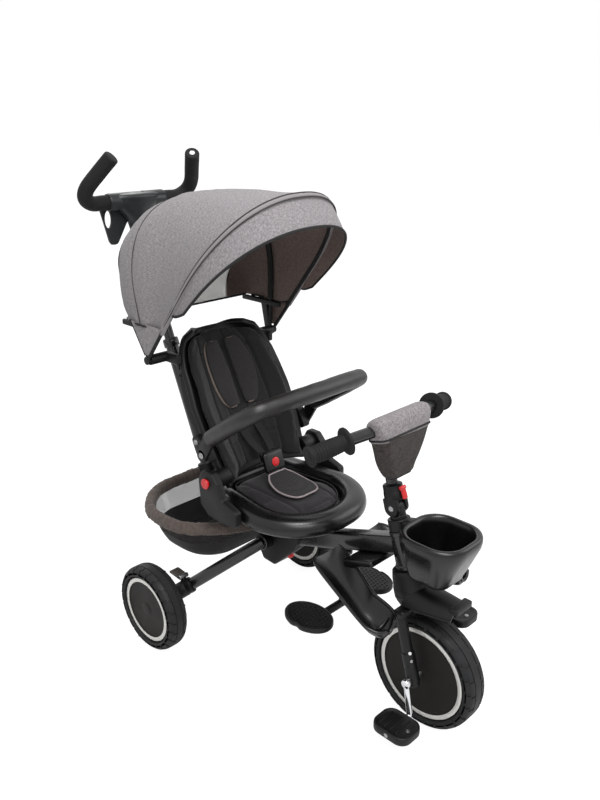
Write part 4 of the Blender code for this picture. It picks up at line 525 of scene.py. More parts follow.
def tube(name, path, radius, sides=28):
    return lofted(name, tube_rings(path, radius, sides))


def spun(name, profile, place, direction, steps=64, closed=False):
    """Turn a profile of radius and height about an axis through a place."""
    deselect()
    direction = Vector(direction).normalized()
    side = direction.orthogonal().normalized()
    place = Vector(place)
    bpy.ops.mesh.primitive_circle_add(vertices=len(profile), radius=0.01)
    piece = named(name)
    bpy.ops.object.mode_set(mode="EDIT")
    bpy.ops.mesh.select_mode(type="EDGE")
    work = bmesh.from_edit_mesh(piece.data)
    ends = []
    for index, vertex in enumerate(work.verts):
        radius, height = profile[index]
        vertex.co = place + side * radius + direction * height
        if index in (0, len(profile) - 1):
            ends.append(vertex)
    bmesh.update_edit_mesh(piece.data)
    if not closed:
        pick(piece, "edges", lambda edge: edge.verts[0] in ends and edge.verts[1] in ends)
        bpy.ops.mesh.delete(type="EDGE_FACE")
    bpy.ops.mesh.select_all(action="SELECT")
    bpy.ops.mesh.spin(steps=steps, angle=2 * pi, center=place, axis=direction)
    bpy.ops.mesh.select_all(action="SELECT")
    bpy.ops.mesh.remove_doubles(threshold=0.00001)
    bpy.ops.mesh.dissolve_degenerate()
    bpy.ops.mesh.normals_make_consistent(inside=False)
    bpy.ops.object.mode_set(mode="OBJECT")
    return piece


def rod(name, start, end, radius, edge=0.001, steps=40):
    """A round bar with eased ends."""
    start, end = Vector(start), Vector(end)
    length = (end - start).length
    profile = [
        (0, 0), (radius - edge, 0), (radius - edge * 0.3, edge * 0.3), (radius, edge),
        (radius, length - edge), (radius - edge * 0.3, length - edge * 0.3), (radius - edge, length),
        (0, length),
    ]
    return spun(name, profile, start, end - start, steps)


def box(name, size, place, edge, turn=0, segments=4):
    """A box turned about X whose edges are rounded."""
    deselect()
    bpy.ops.mesh.primitive_cube_add(size=1, location=place, rotation=(turn, 0, 0), scale=size)
    piece = named(name)
    bpy.ops.object.transform_apply(location=True, rotation=True, scale=True)
    bpy.ops.object.mode_set(mode="EDIT")
    bpy.ops.mesh.select_all(action="SELECT")
    bpy.ops.mesh.bevel(offset=edge, segments=segments, affect="EDGES")
    bpy.ops.object.mode_set(mode="OBJECT")
    return piece


def slab(name, outline, low, high, edge):
    """An outline of Y and Z made thick between two X values, with rounded rims."""
    return rimmed(lofted(name, [[at(x, y, z) for y, z in outline] for x in (low, high)]), edge)


def laid(name, rows, thickness=0, offset=0):
    """A sheet through rows of points, with a UV map in metres, made thick if asked."""
    deselect()
    height, width = len(rows), len(rows[0])
    bpy.ops.mesh.primitive_grid_add(x_subdivisions=width - 1, y_subdivisions=height - 1, size=1)
    piece = named(name)
    mesh = piece.data
    order = sorted(range(len(mesh.vertices)), key=lambda i: (
        round(mesh.vertices[i].co.y, 5), round(mesh.vertices[i].co.x, 5),
    ))
    across = [[0] * width for _ in rows]
    along = [[0] * width for _ in rows]
    for i in range(height):
        for j in range(width):
            if j:
                across[i][j] = across[i][j - 1] + (Vector(rows[i][j]) - Vector(rows[i][j - 1])).length
            if i:
                along[i][j] = along[i - 1][j] + (Vector(rows[i][j]) - Vector(rows[i - 1][j])).length
    places = {}
    for rank, index in enumerate(order):
        i, j = divmod(rank, width)
        mesh.vertices[index].co = rows[i][j]
        places[index] = (across[i][j] - across[i][-1] / 2, along[i][j])
    layer = mesh.uv_layers.active.data
    for loop in mesh.loops:
        layer[loop.index].uv = places[loop.vertex_index]
    mesh.update()
    piece["flat_width"] = max(line[-1] for line in across)
    piece["flat_length"] = max(along[-1])
    piece["flat_area"] = sum(face.area for face in mesh.polygons)
    if thickness:
        with_modifier(piece, "SOLIDIFY", thickness=thickness, offset=offset, use_even_offset=True)
    return piece


def merged(piece, distance, flat=None):
    """Merge points closer than a distance and, if an angle is given, faces flatter than it."""
    only(piece)
    bpy.ops.object.mode_set(mode="EDIT")
    bpy.ops.mesh.select_all(action="SELECT")
    bpy.ops.mesh.remove_doubles(threshold=distance)
    if flat:
        bpy.ops.mesh.dissolve_limited(angle_limit=flat)
    bpy.ops.object.mode_set(mode="OBJECT")


def settle(piece, look, body, replaced=(), slot=None, angle=40):
    """Finish a piece: its material, smoothing, body, what it stands for and its look's slot."""
    slot = slot or FINISHES[look][0]
    if not piece.data.materials:
        piece.data.materials.append(finish(look))
    only(piece)
    bpy.ops.object.shade_smooth_by_angle(angle=radians(angle))
    if body:
        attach(piece, body)
    if replaced:
        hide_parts(*([replaced] if isinstance(replaced, str) else replaced))
    return piece


def dressed(name, node, look, body, edge=0.0008, slot=None, angle=40, sharp=35):
    """A merged copy of a solid with finely rounded edges, which stands for it."""
    source = bpy.data.objects[node]
    piece = bpy.data.objects.new(name, source.data.copy())
    piece.data.name = name
    bpy.context.scene.collection.objects.link(piece)
    piece.data.materials.clear()
    for key in list(piece.keys()):
        del piece[key]
    merged(piece, 0.00002, radians(0.5))
    if edge:
        with_modifier(
            piece, "BEVEL", width=edge, segments=3, limit_method="ANGLE", angle_limit=radians(sharp),
            use_clamp_overlap=True,
        )
    return settle(piece, look, body, node, slot, angle)


def wrinkled(piece, depth, size, stretch=(1, 1, 1), seed=0):
    """Move a soft skin in and out along its normals by smooth noise of one size."""
    mesh = piece.data
    shift = Vector((seed, seed * 0.7, seed * 1.3))
    moved = []
    for vertex in mesh.vertices:
        place = Vector((c * s for c, s in zip(vertex.co, stretch))) / size + shift
        moved.append(vertex.co + vertex.normal * depth * noise.noise(place))
    for vertex, place in zip(mesh.vertices, moved):
        vertex.co = place
    mesh.update()
    return piece


def puffed(piece, voxel, pressure, cap):
    """Swell a closed pad with simulated cloth, and keep each point within a cap of its start."""
    with_modifier(piece, "REMESH", mode="VOXEL", voxel_size=voxel)
    start = [vertex.co.copy() for vertex in piece.data.vertices]
    only(piece)
    cloth = piece.modifiers.new("cloth", "CLOTH")
    cloth.settings.quality = 5
    cloth.settings.mass = 0.2
    cloth.settings.use_pressure = True
    cloth.settings.uniform_pressure_force = pressure
    cloth.settings.effector_weights.gravity = 0
    cloth.point_cache.frame_start = 1
    cloth.point_cache.frame_end = 20
    for step in range(1, 21):
        bpy.context.scene.frame_set(step)
    evaluated = piece.evaluated_get(bpy.context.evaluated_depsgraph_get())
    end = [vertex.co.copy() for vertex in evaluated.data.vertices]
    piece.modifiers.remove(cloth)
    bpy.context.scene.frame_set(1)
    for vertex, before, after in zip(piece.data.vertices, start, end):
        step = after - before
        vertex.co = before + step * min(1, cap / max(step.length, 1e-9))
    piece.data.update()
    with_modifier(piece, "SMOOTH", factor=0.5, iterations=3)
    return with_modifier(piece, "SUBSURF", levels=1, render_levels=1)


# Frame

def beam_middle(y):
    top = BEAM_TOP.z + (BEAM_TOP.y - y) * tan(BEAM_TILT)
    return at(0, y, top - 0.019 / cos(BEAM_TILT))


def along_push(distance):
    """A point of the push handle's leaning tube, measured up from its foot."""
    return at(*PUSH_BASE) + Vector((0, sin(PUSH_LEAN), cos(PUSH_LEAN))) * distance


def make_beam():
    """The sloping bar with its head tube and the ears of the foot rest."""
    rear = beam_middle(-0.212)
    front = beam_middle(-0.5025)
    middle = (rear + front) / 2
    size = (0.034, (front - rear).length, 0.038)
    settle(box("beam_bar", size, middle, 0.0065, -BEAM_TILT), "black_enamel", "frame", "main_beam")
    settle(spun("head_tube", [
        (0.015, HEAD_BASE), (0.0226, HEAD_BASE), (0.0236, HEAD_BASE + 0.001), (0.0236, HEAD_BASE + 0.008),
        (0.0222, HEAD_BASE + 0.0095), (0.0222, HEAD_TOP - 0.0095), (0.0236, HEAD_TOP - 0.008),
        (0.0236, HEAD_TOP - 0.001), (0.0226, HEAD_TOP), (0.015, HEAD_TOP),
    ], steered(0, 0, 0), STEER_UP, 72, True), "black_enamel", "frame")
    for side, sign in SIDES:
        x = sign * 0.011
        outline = softened(
            [(-0.3699, 0.312), (-0.3501, 0.312), (-0.3501, 0.279), (-0.3699, 0.279)], 0.0095, 8,
        )
        settle(slab("foot_rest_ear" + side, outline, x - 0.0025, x + 0.0025, 0.0008), "black_enamel", "frame")


def make_hub():
    """The casting under the seat, its turntable, side seams and cover screws."""
    outline = softened([
        (-0.24, 0.312), (-0.115, 0.312), (-0.115, 0.215), (-0.132, 0.186), (-0.168, 0.184), (-0.226, 0.242),
        (-0.244, 0.28),
    ], 0.01)
    settle(slab("hub_housing", outline, -0.024, 0.024, 0.0045), "satin_abs", "frame", "centre_hub")
    settle(spun("turntable", [
        (0, 0.322), (0.0435, 0.322), (0.0455, 0.3212), (0.046, 0.3195), (0.046, 0.3105), (0.0445, 0.3085),
        (0.03, 0.3), (0, 0.3),
    ], at(0, -0.17, 0), (0, 0, 1), 72), "satin_abs", "frame")
    for side, sign in SIDES:
        for index, (y, z) in enumerate(((-0.226, 0.292), (-0.128, 0.296), (-0.128, 0.21))):
            place = at(sign * 0.0236, y, z)
            settle(spun("hub_screw%s_%d" % (side, index), [
                (0, 0.0002), (0.0016, 0.0004), (0.0024, 0.001), (0.0034, 0.0012), (0.0042, 0.0006),
                (0.0042, -0.001),
            ], place, (sign, 0, 0), 24), "satin_abs", "frame")
    out = Vector((0, -1, -1)).normalized()
    settle(spun("fold_catch_button", [
        (0, 0.0068), (0.003, 0.0068), (0.0058, 0.0058), (0.0074, 0.0044), (0.008, 0.003), (0.008, -0.005),
        (0, -0.005),
    ], at(0, -0.197, 0.213), out, 40), "red_abs", "fold_catch", "fold_button")


def make_push_socket_cover():
    """The stay behind the hub and the ribbed socket that grips the push tube."""
    front, rear = -0.1147, 0.055
    settle(box(
        "socket_stay", (0.03, rear - front, 0.026), at(0, (front + rear) / 2, PUSH_BASE.z + 0.013), 0.006,
    ), "satin_abs", "frame", "push_socket")
    up = along_push(1) - along_push(0)
    profile = [
        (0.0158, 0.098), (0.019, 0.098), (0.0205, 0.0975), (0.0235, 0.0955), (0.0235, 0.079), (0.0205, 0.077),
    ]
    for rib in range(4):
        low = 0.066 - 0.012 * rib
        profile += [(0.0205, low + 0.004), (0.0212, low + 0.003), (0.0212, low), (0.0205, low - 0.001)]
    profile += [(0.0205, -0.01), (0.019, -0.012), (0, -0.012), (0, -0.0003), (0.0158, -0.0003)]
    settle(spun("socket_barrel", profile, along_push(0), up, 64, True), "satin_abs", "frame")


def make_push_tubes():
    """The outer tube with its collar, and the inner tube that slides in it."""
    up = along_push(1) - along_push(0)
    end = 0.4
    settle(spun("push_tube_outer", [
        (0.0155, end - 0.012), (0.0155, 0), (0.0126, 0), (0.0126, end + 0.01), (0.0172, end + 0.01),
        (0.0186, end + 0.0085), (0.019, end + 0.006), (0.019, end - 0.009), (0.0184, end - 0.0105),
    ], along_push(0), up, 64, True), "black_enamel", "frame", "push_tube_lower")
    settle(rod("push_tube_inner", along_push(0.19), along_push(0.706), 0.0122, steps=56),
           "black_enamel", "push_handle", "push_tube_upper")


def make_foot_rest():
    """The strut on the beam's ears, the cross bar and two textured pegs."""
    settle(box("foot_rest_strut", (0.0164, 0.018, 0.112), at(0, -0.36, 0.226), 0.003),
           "satin_abs", "foot_rest_arm", "foot_rest")
    settle(rod("foot_rest_eye", at(-0.0082, -0.36, 0.288), at(0.0082, -0.36, 0.288), 0.0098),
           "satin_abs", "foot_rest_arm")
    settle(rod("foot_rest_bar", at(-0.098, -0.36, 0.168), at(0.098, -0.36, 0.168), 0.0088),
           "satin_abs", "foot_rest_arm")
    for side, sign in SIDES:
        centre = at(sign * 0.098, -0.35, 0.172)
        rings = []
        for grow, height in (
            (-0.006, -0.0065), (-0.0015, -0.0058), (0, -0.0035), (0, 0.0035), (-0.0015, 0.0058),
            (-0.004, 0.0065), (-0.0055, 0.0052),
        ):
            ring = []
            for i in range(72):
                turn = 2 * pi * i / 72
                pinch = 1 - 0.1 * exp(-((turn - pi * (0 if sign > 0 else 1)) ** 2) / 0.02)
                ring.append(centre + Vector((
                    (0.042 + grow) * cos(turn) * pinch, (0.058 + grow) * sin(turn), height,
                )))
            rings.append(ring)
        settle(lofted("foot_peg" + side, rings), "satin_abs", "foot_rest_arm")
        places = []
        for row in range(-5, 6):
            for column in range(-4, 5):
                x, y = column * 0.0085 + (row % 2) * 0.0042, row * 0.0092
                if (x / 0.033) ** 2 + (y / 0.049) ** 2 < 1:
                    places.append((x, y))
        studs(side, centre, places)


def studs(side, centre, places):
    """Small grip domes on a peg, one modelled and the others copied and joined to it."""
    first = spun("peg_grip_studs" + side, [
        (0, 0.0016), (0.0012, 0.0015), (0.0021, 0.0009), (0.0025, -0.0008),
    ], centre + Vector((places[0][0], places[0][1], 0.0052)), (0, 0, 1), 12)
    copies = [first]
    for x, y in places[1:]:
        copy = bpy.data.objects.new("stud", first.data.copy())
        bpy.context.scene.collection.objects.link(copy)
        copy.data.transform(Matrix.Translation((x - places[0][0], y - places[0][1], 0)))
        copies.append(copy)
    deselect()
    for copy in copies:
        copy.select_set(True)
    bpy.context.view_layer.objects.active = first
    bpy.ops.object.join()
    settle(first, "satin_abs", "foot_rest_arm")


def calf_rows(sign, lengthwise=30, crosswise=22):
    rows = []
    for i in range(lengthwise + 1):
        t = i / lengthwise
        y = -0.366 - 0.21 * t
        inner = 0.02 + 0.062 * min(1, t * 1.5)
        outer = 0.11 + 0.047 * min(1, t * 1.15)
        middle = (inner + outer) / 2
        half = (outer - inner) / 2
        end = abs(2 * t - 1)
        narrow = (1 - end ** 5) ** 0.5 if end < 1 else 0
        half *= 0.34 + 0.66 * narrow if t > 0.5 else 0.78 + 0.22 * narrow
        rim_inner = 0.322 - 0.04 * t
        rim_outer = 0.322 - 0.05 * t
        depth = (0.012 + 0.022 * min(1, 1.3 * t)) * (0.35 + 0.65 * narrow)
        row = []
        for j in range(crosswise + 1):
            s = 2 * j / crosswise - 1
            rim = rim_inner + (rim_outer - rim_inner) * (s + 1) / 2
            row.append(at(sign * (middle + s * half), y, rim - depth * (1 - s * s) + 0.0008 * (1 - abs(s))))
        rows.append(row)
    return rows


def make_calf_rests():
    """Two glossy troughs with a rolled rim and a raised toe stop, on a saddle under the beam."""
    place = beam_middle(-0.432) + Vector((0, sin(BEAM_TILT), cos(BEAM_TILT))) * -0.0263
    settle(box("calf_saddle", (0.116, 0.078, 0.014), place, 0.005, -BEAM_TILT),
           "gloss_abs", "frame", "leg_rest")
    for side, sign in SIDES:
        rows = calf_rows(sign)
        rings = [row + [point - Vector((0, 0, 0.006)) for point in row[::-1]] for row in rows]
        settle(lofted("calf_wing" + side, rings), "gloss_abs", "frame", angle=60)
        edge = [row[0] for row in rows] + rows[-1][1:-1] + [row[-1] for row in rows[::-1]]
        drop = Vector((0, 0, 0.0022))
        settle(tube("calf_rim" + side, [point - drop for point in edge], 0.0033, 14), "gloss_abs", "frame")
        stop_row = rows[-4]
        stop_low = rows[-3]
        crescent = []
        for j in range(3, 20):
            bow = 0.01 * (1 - (2 * j / 22 - 1) ** 2)
            crescent.append(stop_row[j] * 0.5 + stop_low[j] * 0.5 + Vector((0, bow, 0.0018)))
        radii = [0.0012 + 0.0022 * sin(pi * i / (len(crescent) - 1)) for i in range(len(crescent))]
        settle(tube("calf_toe_stop" + side, crescent, radii, 14), "gloss_abs", "frame")


def basket_path():
    low, high = 0.29, 0.3
    half = [
        (0.0243, -0.131, low), (0.06, -0.131, low), (0.112, -0.127, high), (0.197, -0.05, high),
        (0.197, 0.07, high), (0.12, 0.15, high),
    ]
    return bent([at(*p) for p in half] + [at(-x, y, z) for x, y, z in half[::-1]], 0.055, 9)


def scaled(ring, share):
    """A ring grown or shrunk about its middle."""
    middle = sum(ring, Vector()) / len(ring)
    return [middle + (point - middle) * share for point in ring]


def resampled(path, gap):
    """A path with points at even steps."""
    result = [path[0]]
    spare = 0
    for start, end in zip(path, path[1:]):
        length = (end - start).length
        spare += length
        while spare >= gap:
            spare -= gap
            result.append(end + (start - end) * (spare / length))
    return result


def make_basket():
    """The hoop in its gathered cloth sleeve, and the net bowl with its cloth floor."""
    path = resampled(basket_path(), 0.0035)
    for _ in range(160):
        inner = [(a + b * 2 + c) / 4 for a, b, c in zip(path, path[1:], path[2:])]
        path = [path[0], *inner, path[-1]]
    rings = []
    for index, ring in enumerate(tube_rings(path, 1, 28)):
        centre = path[index]
        gather = 0.5 + 0.5 * sin(index * 1.9 + 1.2 * sin(index * 0.37))
        new_ring = []
        for point in ring:
            way = point - centre
            hang = 0.005 if way.z < -0.2 else 0
            reach = 0.0106 + 0.0012 * gather + hang * min(1, (-way.z - 0.2) / 0.5)
            new_ring.append(centre + way * reach)
        rings.append(new_ring)
    sleeve = wrinkled(lofted("basket_sleeve", rings), 0.0018, 0.011, (1, 1, 0.45), 3)
    settle(sleeve, "rim_cloth", "frame", "basket_rim", angle=80)
    top = 0.292
    levels = eased([
        (0.183, -0.106, 0.143, top, 0.105), (0.174, -0.092, 0.14, 0.268, 0.1),
        (0.162, -0.079, 0.136, 0.238, 0.092), (0.146, -0.066, 0.13, 0.205, 0.084),
        (0.126, -0.052, 0.119, 0.187, 0.074), (0.1, -0.036, 0.102, 0.1795, 0.06),
    ], 5)
    count = len(rounded_rectangle(0.1, -0.1, 0.1, 0.05, 9))
    rows = []
    for half, front, rear, height, corner in levels:
        ring = rounded_rectangle(half, front, rear, corner, 9)
        sag = 0.004 * sin(pi * (top - height) / 0.115)
        rows.append([at(p[0] * (1 - sag), p[1], height) for p in ring])
    shell = [[row[i % count] for i in range(count + 1)] for row in rows]
    bowl = laid("basket_net", shell)
    merged(bowl, 0.00001)
    wrinkled(bowl, 0.0045, 0.045, (1, 1, 0.5), 9)
    bowl.data.materials.append(finish("basket_net"))
    bowl.data.materials.append(finish("pad_cloth"))
    for face in bowl.data.polygons:
        if face.center.z < 0.236:
            face.material_index = 1
    with_modifier(bowl, "SOLIDIFY", thickness=0.0012, offset=-1)
    settle(bowl, "basket_net", "frame", "basket_bag", angle=80)
    floor_ring = [Vector(p) for p in rows[-1]]
    centre = sum(floor_ring, Vector()) / len(floor_ring)
    rings = [[centre + (p - centre) * share + Vector((0, 0, lift)) for p in floor_ring] for share, lift in (
        (1.02, 0.0004), (1.015, 0.0016), (0.8, 0.0012), (0.4, 0.0008), (0.1, 0.001))]
    floor = lofted("basket_floor_cloth", rings)
    settle(floor, "strap_cloth", "frame", slot="dark_fabric", angle=80)
    for index, row in enumerate((rows[-6], rows[-1])):
        band = resampled([p + Vector((0, 0, 0.001)) for p in row] + [row[0] + Vector((0, 0, 0.001))], 0.006)
        settle(tube("basket_tape_%d" % index, band, 0.0021, 10), "binding_tape", "frame")


# Rear frame and wheels

def make_rear_frame():
    """The pivot barrel, two straight legs, their plastic ends and the brake levers."""
    settle(spun("pivot_barrel", [
        (0, -0.047), (0.0165, -0.047), (0.018, -0.0455), (0.018, 0.0455), (0.0165, 0.047), (0, 0.047),
    ], at(*BARREL), (1, 0, 0), 56), "black_enamel", "rear_axle_frame", "rear_frame")
    for side, sign in SIDES:
        start, end = at(*mirrored(LEG_START, sign)), at(*mirrored(LEG_END, sign))
        way = (end - start).normalized()
        settle(rod("leg_tube" + side, start, end, 0.014, steps=56), "black_enamel", "rear_axle_frame")
        length = (end - start).length
        low = length - 0.062
        settle(spun("leg_sleeve" + side, [
            (0.0142, low), (0.0172, low), (0.0185, low + 0.0015), (0.0185, low + 0.01),
            (0.0178, low + 0.0115), (0.0178, low + 0.014), (0.0185, low + 0.0155), (0.0185, length + 0.003),
            (0.0165, length + 0.006), (0, length + 0.006),
        ], start, way, 56), "satin_abs", "rear_axle_frame", "rear_sleeve" + side)
        centre = at(*mirrored(REAR_WHEEL, sign))
        axis = Vector((sign, 0, 0))
        settle(spun("wheel_boss" + side, [
            (0, -0.058), (0.017, -0.058), (0.0195, -0.056), (0.0205, -0.053), (0.0205, -0.03),
            (0.0195, -0.0272), (0, -0.0272),
        ], centre, axis, 56), "satin_abs", "rear_axle_frame")
        pivot = at(*mirrored(BRAKE_PIVOT, sign))
        settle(box("brake_lug" + side, (0.01, 0.012, 0.026), pivot - Vector((0, 0, 0.0145)), 0.002),
               "satin_abs", "rear_axle_frame")
        settle(box("brake_pedal" + side, (0.026, 0.04, 0.0055), pivot + Vector((0, 0.016, -0.001)), 0.0022,
                    radians(4)), "brake_abs", "brake" + side, "brake_lever" + side)
        for index in range(3):
            settle(box("brake_tread%s_%d" % (side, index), (0.02, 0.0035, 0.0022),
                      pivot + Vector((0, 0.012 + 0.009 * index, 0.002 + 0.0006 * index)), 0.0009,
                      radians(4), 2), "brake_abs", "brake" + side)
        settle(rod("brake_pin" + side, pivot - Vector((0.012, 0, 0)), pivot + Vector((0.012, 0, 0)), 0.0045),
               "zinc_bolt", "brake" + side)


def make_tyre(name, centre, radius, inner, width, shoulder, steps, body, node):
    """A foam tyre whose tread and shoulders are cut by slanted grooves into blocks."""
    half = width / 2
    outer = [
        (inner, half - 0.004), (inner + 0.0015, half - 0.0012), (inner + 0.004, half), (inner + 0.01, half),
        (radius - shoulder, half), (radius - shoulder * 0.72, half - shoulder * 0.05),
        (radius - shoulder * 0.42, half - shoulder * 0.2), (radius - shoulder * 0.17, half - shoulder * 0.46),
        (radius - shoulder * 0.04, half - shoulder * 0.8), (radius, half * 0.38), (radius, half * 0.3),
        (radius, half * 0.1),
    ]
    profile = outer + [(r, -z) for r, z in outer[::-1]]
    centre = Vector(centre)
    rings = [
        [centre + Vector((z, r * cos(2 * pi * i / steps), r * sin(2 * pi * i / steps)))
         for i in range(steps)] for r, z in profile
    ]
    tyre = lofted(name, rings, around=True)
    only(tyre)
    bpy.ops.object.mode_set(mode="EDIT")
    bpy.ops.mesh.select_mode(type="FACE")

    def in_groove(face):
        way = face.calc_center_median() - centre
        reach = hypot(way.y, way.z)
        offset = abs(way.x)
        if reach < radius - shoulder * 1.05:
            return False
        if half * 0.3 < offset < half * 0.385 and reach > radius - 0.002:
            return True
        if offset < half * 0.38:
            return False
        turn = atan2(way.z, way.y) / (2 * pi) * steps
        slant = (radius - reach) / shoulder * 2.2 + (2 if way.x < 0 else 0)
        return (turn + slant) // 1 % 5 == 0

    pick(tyre, "faces", in_groove)
    bpy.ops.mesh.extrude_region_shrink_fatten(TRANSFORM_OT_shrink_fatten={"value": -0.0014})
    bpy.ops.object.mode_set(mode="OBJECT")
    return settle(tyre, "eva_foam", body, node, angle=32)


def make_wheel(tyre_name, disc_name, ring_name, centre, radius, rim, ring, width, shoulder, body, tyre_node,
               disc_node):
    """A tyre, its flat disc and a thin silver ring on each face."""
    make_tyre(tyre_name, centre, radius, rim, width, shoulder, 120, body, tyre_node)
    half = width / 2 - 0.001
    face = half - 0.006
    outer = [
        (0.0065, face + 0.0006), (0.0125, face + 0.0006), (0.0135, face), (ring * 0.3, face - 0.0004),
        (ring * 0.65, face - 0.0006), (ring - 0.0125, face), (ring - 0.01, face + 0.0018),
        (ring + 0.0005, face + 0.0018), (ring + 0.0015, face - 0.0005), (rim - 0.0003, face - 0.001),
    ]
    settle(spun(disc_name, outer + [(r, -z) for r, z in outer[::-1]], centre, (1, 0, 0), 96, True),
           "disc_abs", body, disc_node, angle=32)
    for label, sign in (("_outer", 1), ("_inner", -1)):
        settle(spun(ring_name + label, [
            (ring - 0.0088, sign * (face + 0.0012)), (ring - 0.0088, sign * (face + 0.0023)),
            (ring - 0.0078, sign * (face + 0.0029)), (ring - 0.001, sign * (face + 0.0029)),
            (ring, sign * (face + 0.0023)), (ring, sign * (face + 0.0012)),
        ], centre, (1, 0, 0), 96, True), "silver_ring", body)


def make_rear_wheels():
    for side, sign in SIDES:
        centre = at(*mirrored(REAR_WHEEL, sign))
        make_wheel(
            "rear_foam_tyre" + side, "rear_disc" + side, "rear_ring" + side, centre,
            0.0995, 0.079, 0.0754, 0.0508, 0.015,
            "rear_roller" + side, "rear_tyre" + side, "rear_wheel" + side,
        )
        settle(spun("rear_cap" + side, [
            (0, 0.0196), (0.006, 0.0195), (0.01, 0.0191), (0.0118, 0.0184), (0.0118, 0.017), (0, 0.017),
        ], centre, (sign, 0, 0), 48), "disc_abs", "rear_roller" + side)


# Front wheel and drive

def make_front_wheel():
    make_wheel(
        "front_foam_tyre", "front_disc", "front_ring", at(*FRONT_AXLE), 0.12, 0.1, 0.0974, 0.0572, 0.013,
        "front_roller", "front_tyre", "front_wheel",
    )


def make_drive():
    """The chromed axle and cranks, and two moulded pedals with cleats."""
    axle_centre = at(*FRONT_AXLE)
    across = Vector((CRANK_OFFSET, 0, 0))
    settle(rod("crank_axle", axle_centre - across, axle_centre + across, 0.006),
           "chrome", "front_roller", "crank")
    for side, sign in SIDES:
        hub = axle_centre + across * sign
        pin = hub + PEDAL_REACH * sign
        inner, outer = hub - Vector((sign * 0.01, 0, 0)), pin + Vector((sign * 0.074, 0, 0))
        path = bent([inner, hub, pin, outer], 0.007, 8)
        radii = [0.0062] * (len(path) - 2) + [0.0045] * 2
        settle(tube("crank_arm" + side, path, radii, 24), "chrome", "front_roller", angle=60)
        settle(spun("crank_nut" + side, [
            (0, 0.0068), (0.004, 0.0066), (0.0086, 0.0055), (0.0095, 0.004), (0.0095, -0.0065),
            (0, -0.0065),
        ], hub, (sign, 0, 0), 32), "chrome", "front_roller")
        make_pedal(side, sign, pin)


def make_pedal(side, sign, pin):
    """A rounded block with a sunk, cleated face on both sides, a dimple and its pin's end."""
    centre = pin + Vector((sign * 0.0415, 0, 0))

    def ring(inset, height):
        plan = rounded_rectangle(0.033 - inset, -0.042 + inset, 0.042 - inset, 0.022 - inset * 0.6, 8)
        return [centre + Vector((p[0], p[1], height)) for p in plan]

    half = [(0.012, 0.0062), (0.006, 0.0066), (0.0045, 0.0082), (0.002, 0.0086), (0.0004, 0.0072), (0, 0.005)]
    rings = [ring(inset, -height) for inset, height in half] + [ring(*pair) for pair in half[::-1]]
    settle(lofted("pedal_block" + side, rings), "satin_abs", "pedal_block" + side, "pedal" + side, angle=50)
    for label, up in (("top", 1), ("sole", -1)):
        for index in range(4):
            place = centre + Vector((0, (index - 1) * 0.013, up * 0.0064))
            cleat = "pedal_cleat%s_%s_%d" % (side, label, index)
            cleat = box(cleat, (0.044, 0.004, 0.0022), place, 0.001, 0, 2)
            settle(cleat, "satin_abs", "pedal_block" + side)
        settle(rod("pedal_hole%s_%s" % (side, label), centre + Vector((0, -0.027, up * 0.005)),
                   centre + Vector((0, -0.027, up * 0.007)), 0.0042, 0.0006, 24),
               "zinc_bolt", "pedal_block" + side)
    settle(spun("pedal_pin_end" + side, [
        (0, 0.0014), (0.003, 0.0012), (0.0044, 0.0004), (0.0044, -0.002), (0, -0.002),
    ], centre + Vector((sign * 0.033, 0, 0)), (sign, 0, 0), 24), "zinc_bolt", "pedal_block" + side)


# Steering

def make_fork():
    """The crown cone, the bridge and two legs with lower sleeves, a rivet and a screw each."""
    foot = steered(0, 0, 0)
    settle(spun("fork_crown", [
        (0, COLLAR_BASE - 0.0003), (0.035, COLLAR_BASE - 0.0003), (0.036, COLLAR_BASE - 0.0012),
        (0.036, COLLAR_BASE - 0.005), (0.033, COLLAR_BASE - 0.014), (0.0275, CROWN_BASE + 0.003),
        (0.026, CROWN_BASE), (0, CROWN_BASE),
    ], foot, STEER_UP, 64), "satin_abs", "steering", "fork")
    settle(box("fork_bridge", (0.114, 0.03, 0.016), steered(0, 0, CROWN_BASE + 0.001), 0.006, -STEER_TILT),
           "satin_abs", "steering")
    for side, sign in SIDES:
        x = sign * 0.046
        settle(spun("fork_leg" + side, [
            (0, CROWN_BASE), (0.011, CROWN_BASE), (0.011, 0.0585), (0.0126, 0.0575), (0.0132, 0.0555),
            (0.0132, 0.03), (0.0127, 0.029), (0.0127, 0.027), (0.0132, 0.026), (0.0132, -0.008),
            (0.0118, -0.0125), (0.009, -0.0155), (0, -0.017),
        ], steered(x, 0, 0), STEER_UP, 48), "satin_abs", "steering")
        forward = (STEERING.to_3x3() @ Vector((sign * 0.5, -0.86, 0))).normalized()
        for label, height, look in (("rivet", 0.058, "white_abs"), ("screw", 0.042, "zinc_bolt")):
            place = steered(x, 0, height) + forward * 0.0118
            settle(spun("fork_%s%s" % (label, side), [
                (0, 0.0022), (0.0016, 0.0021), (0.003, 0.0014), (0.0034, 0), (0.0034, -0.002),
            ], place, forward, 24), look, "steering", slot="chrome_steel")


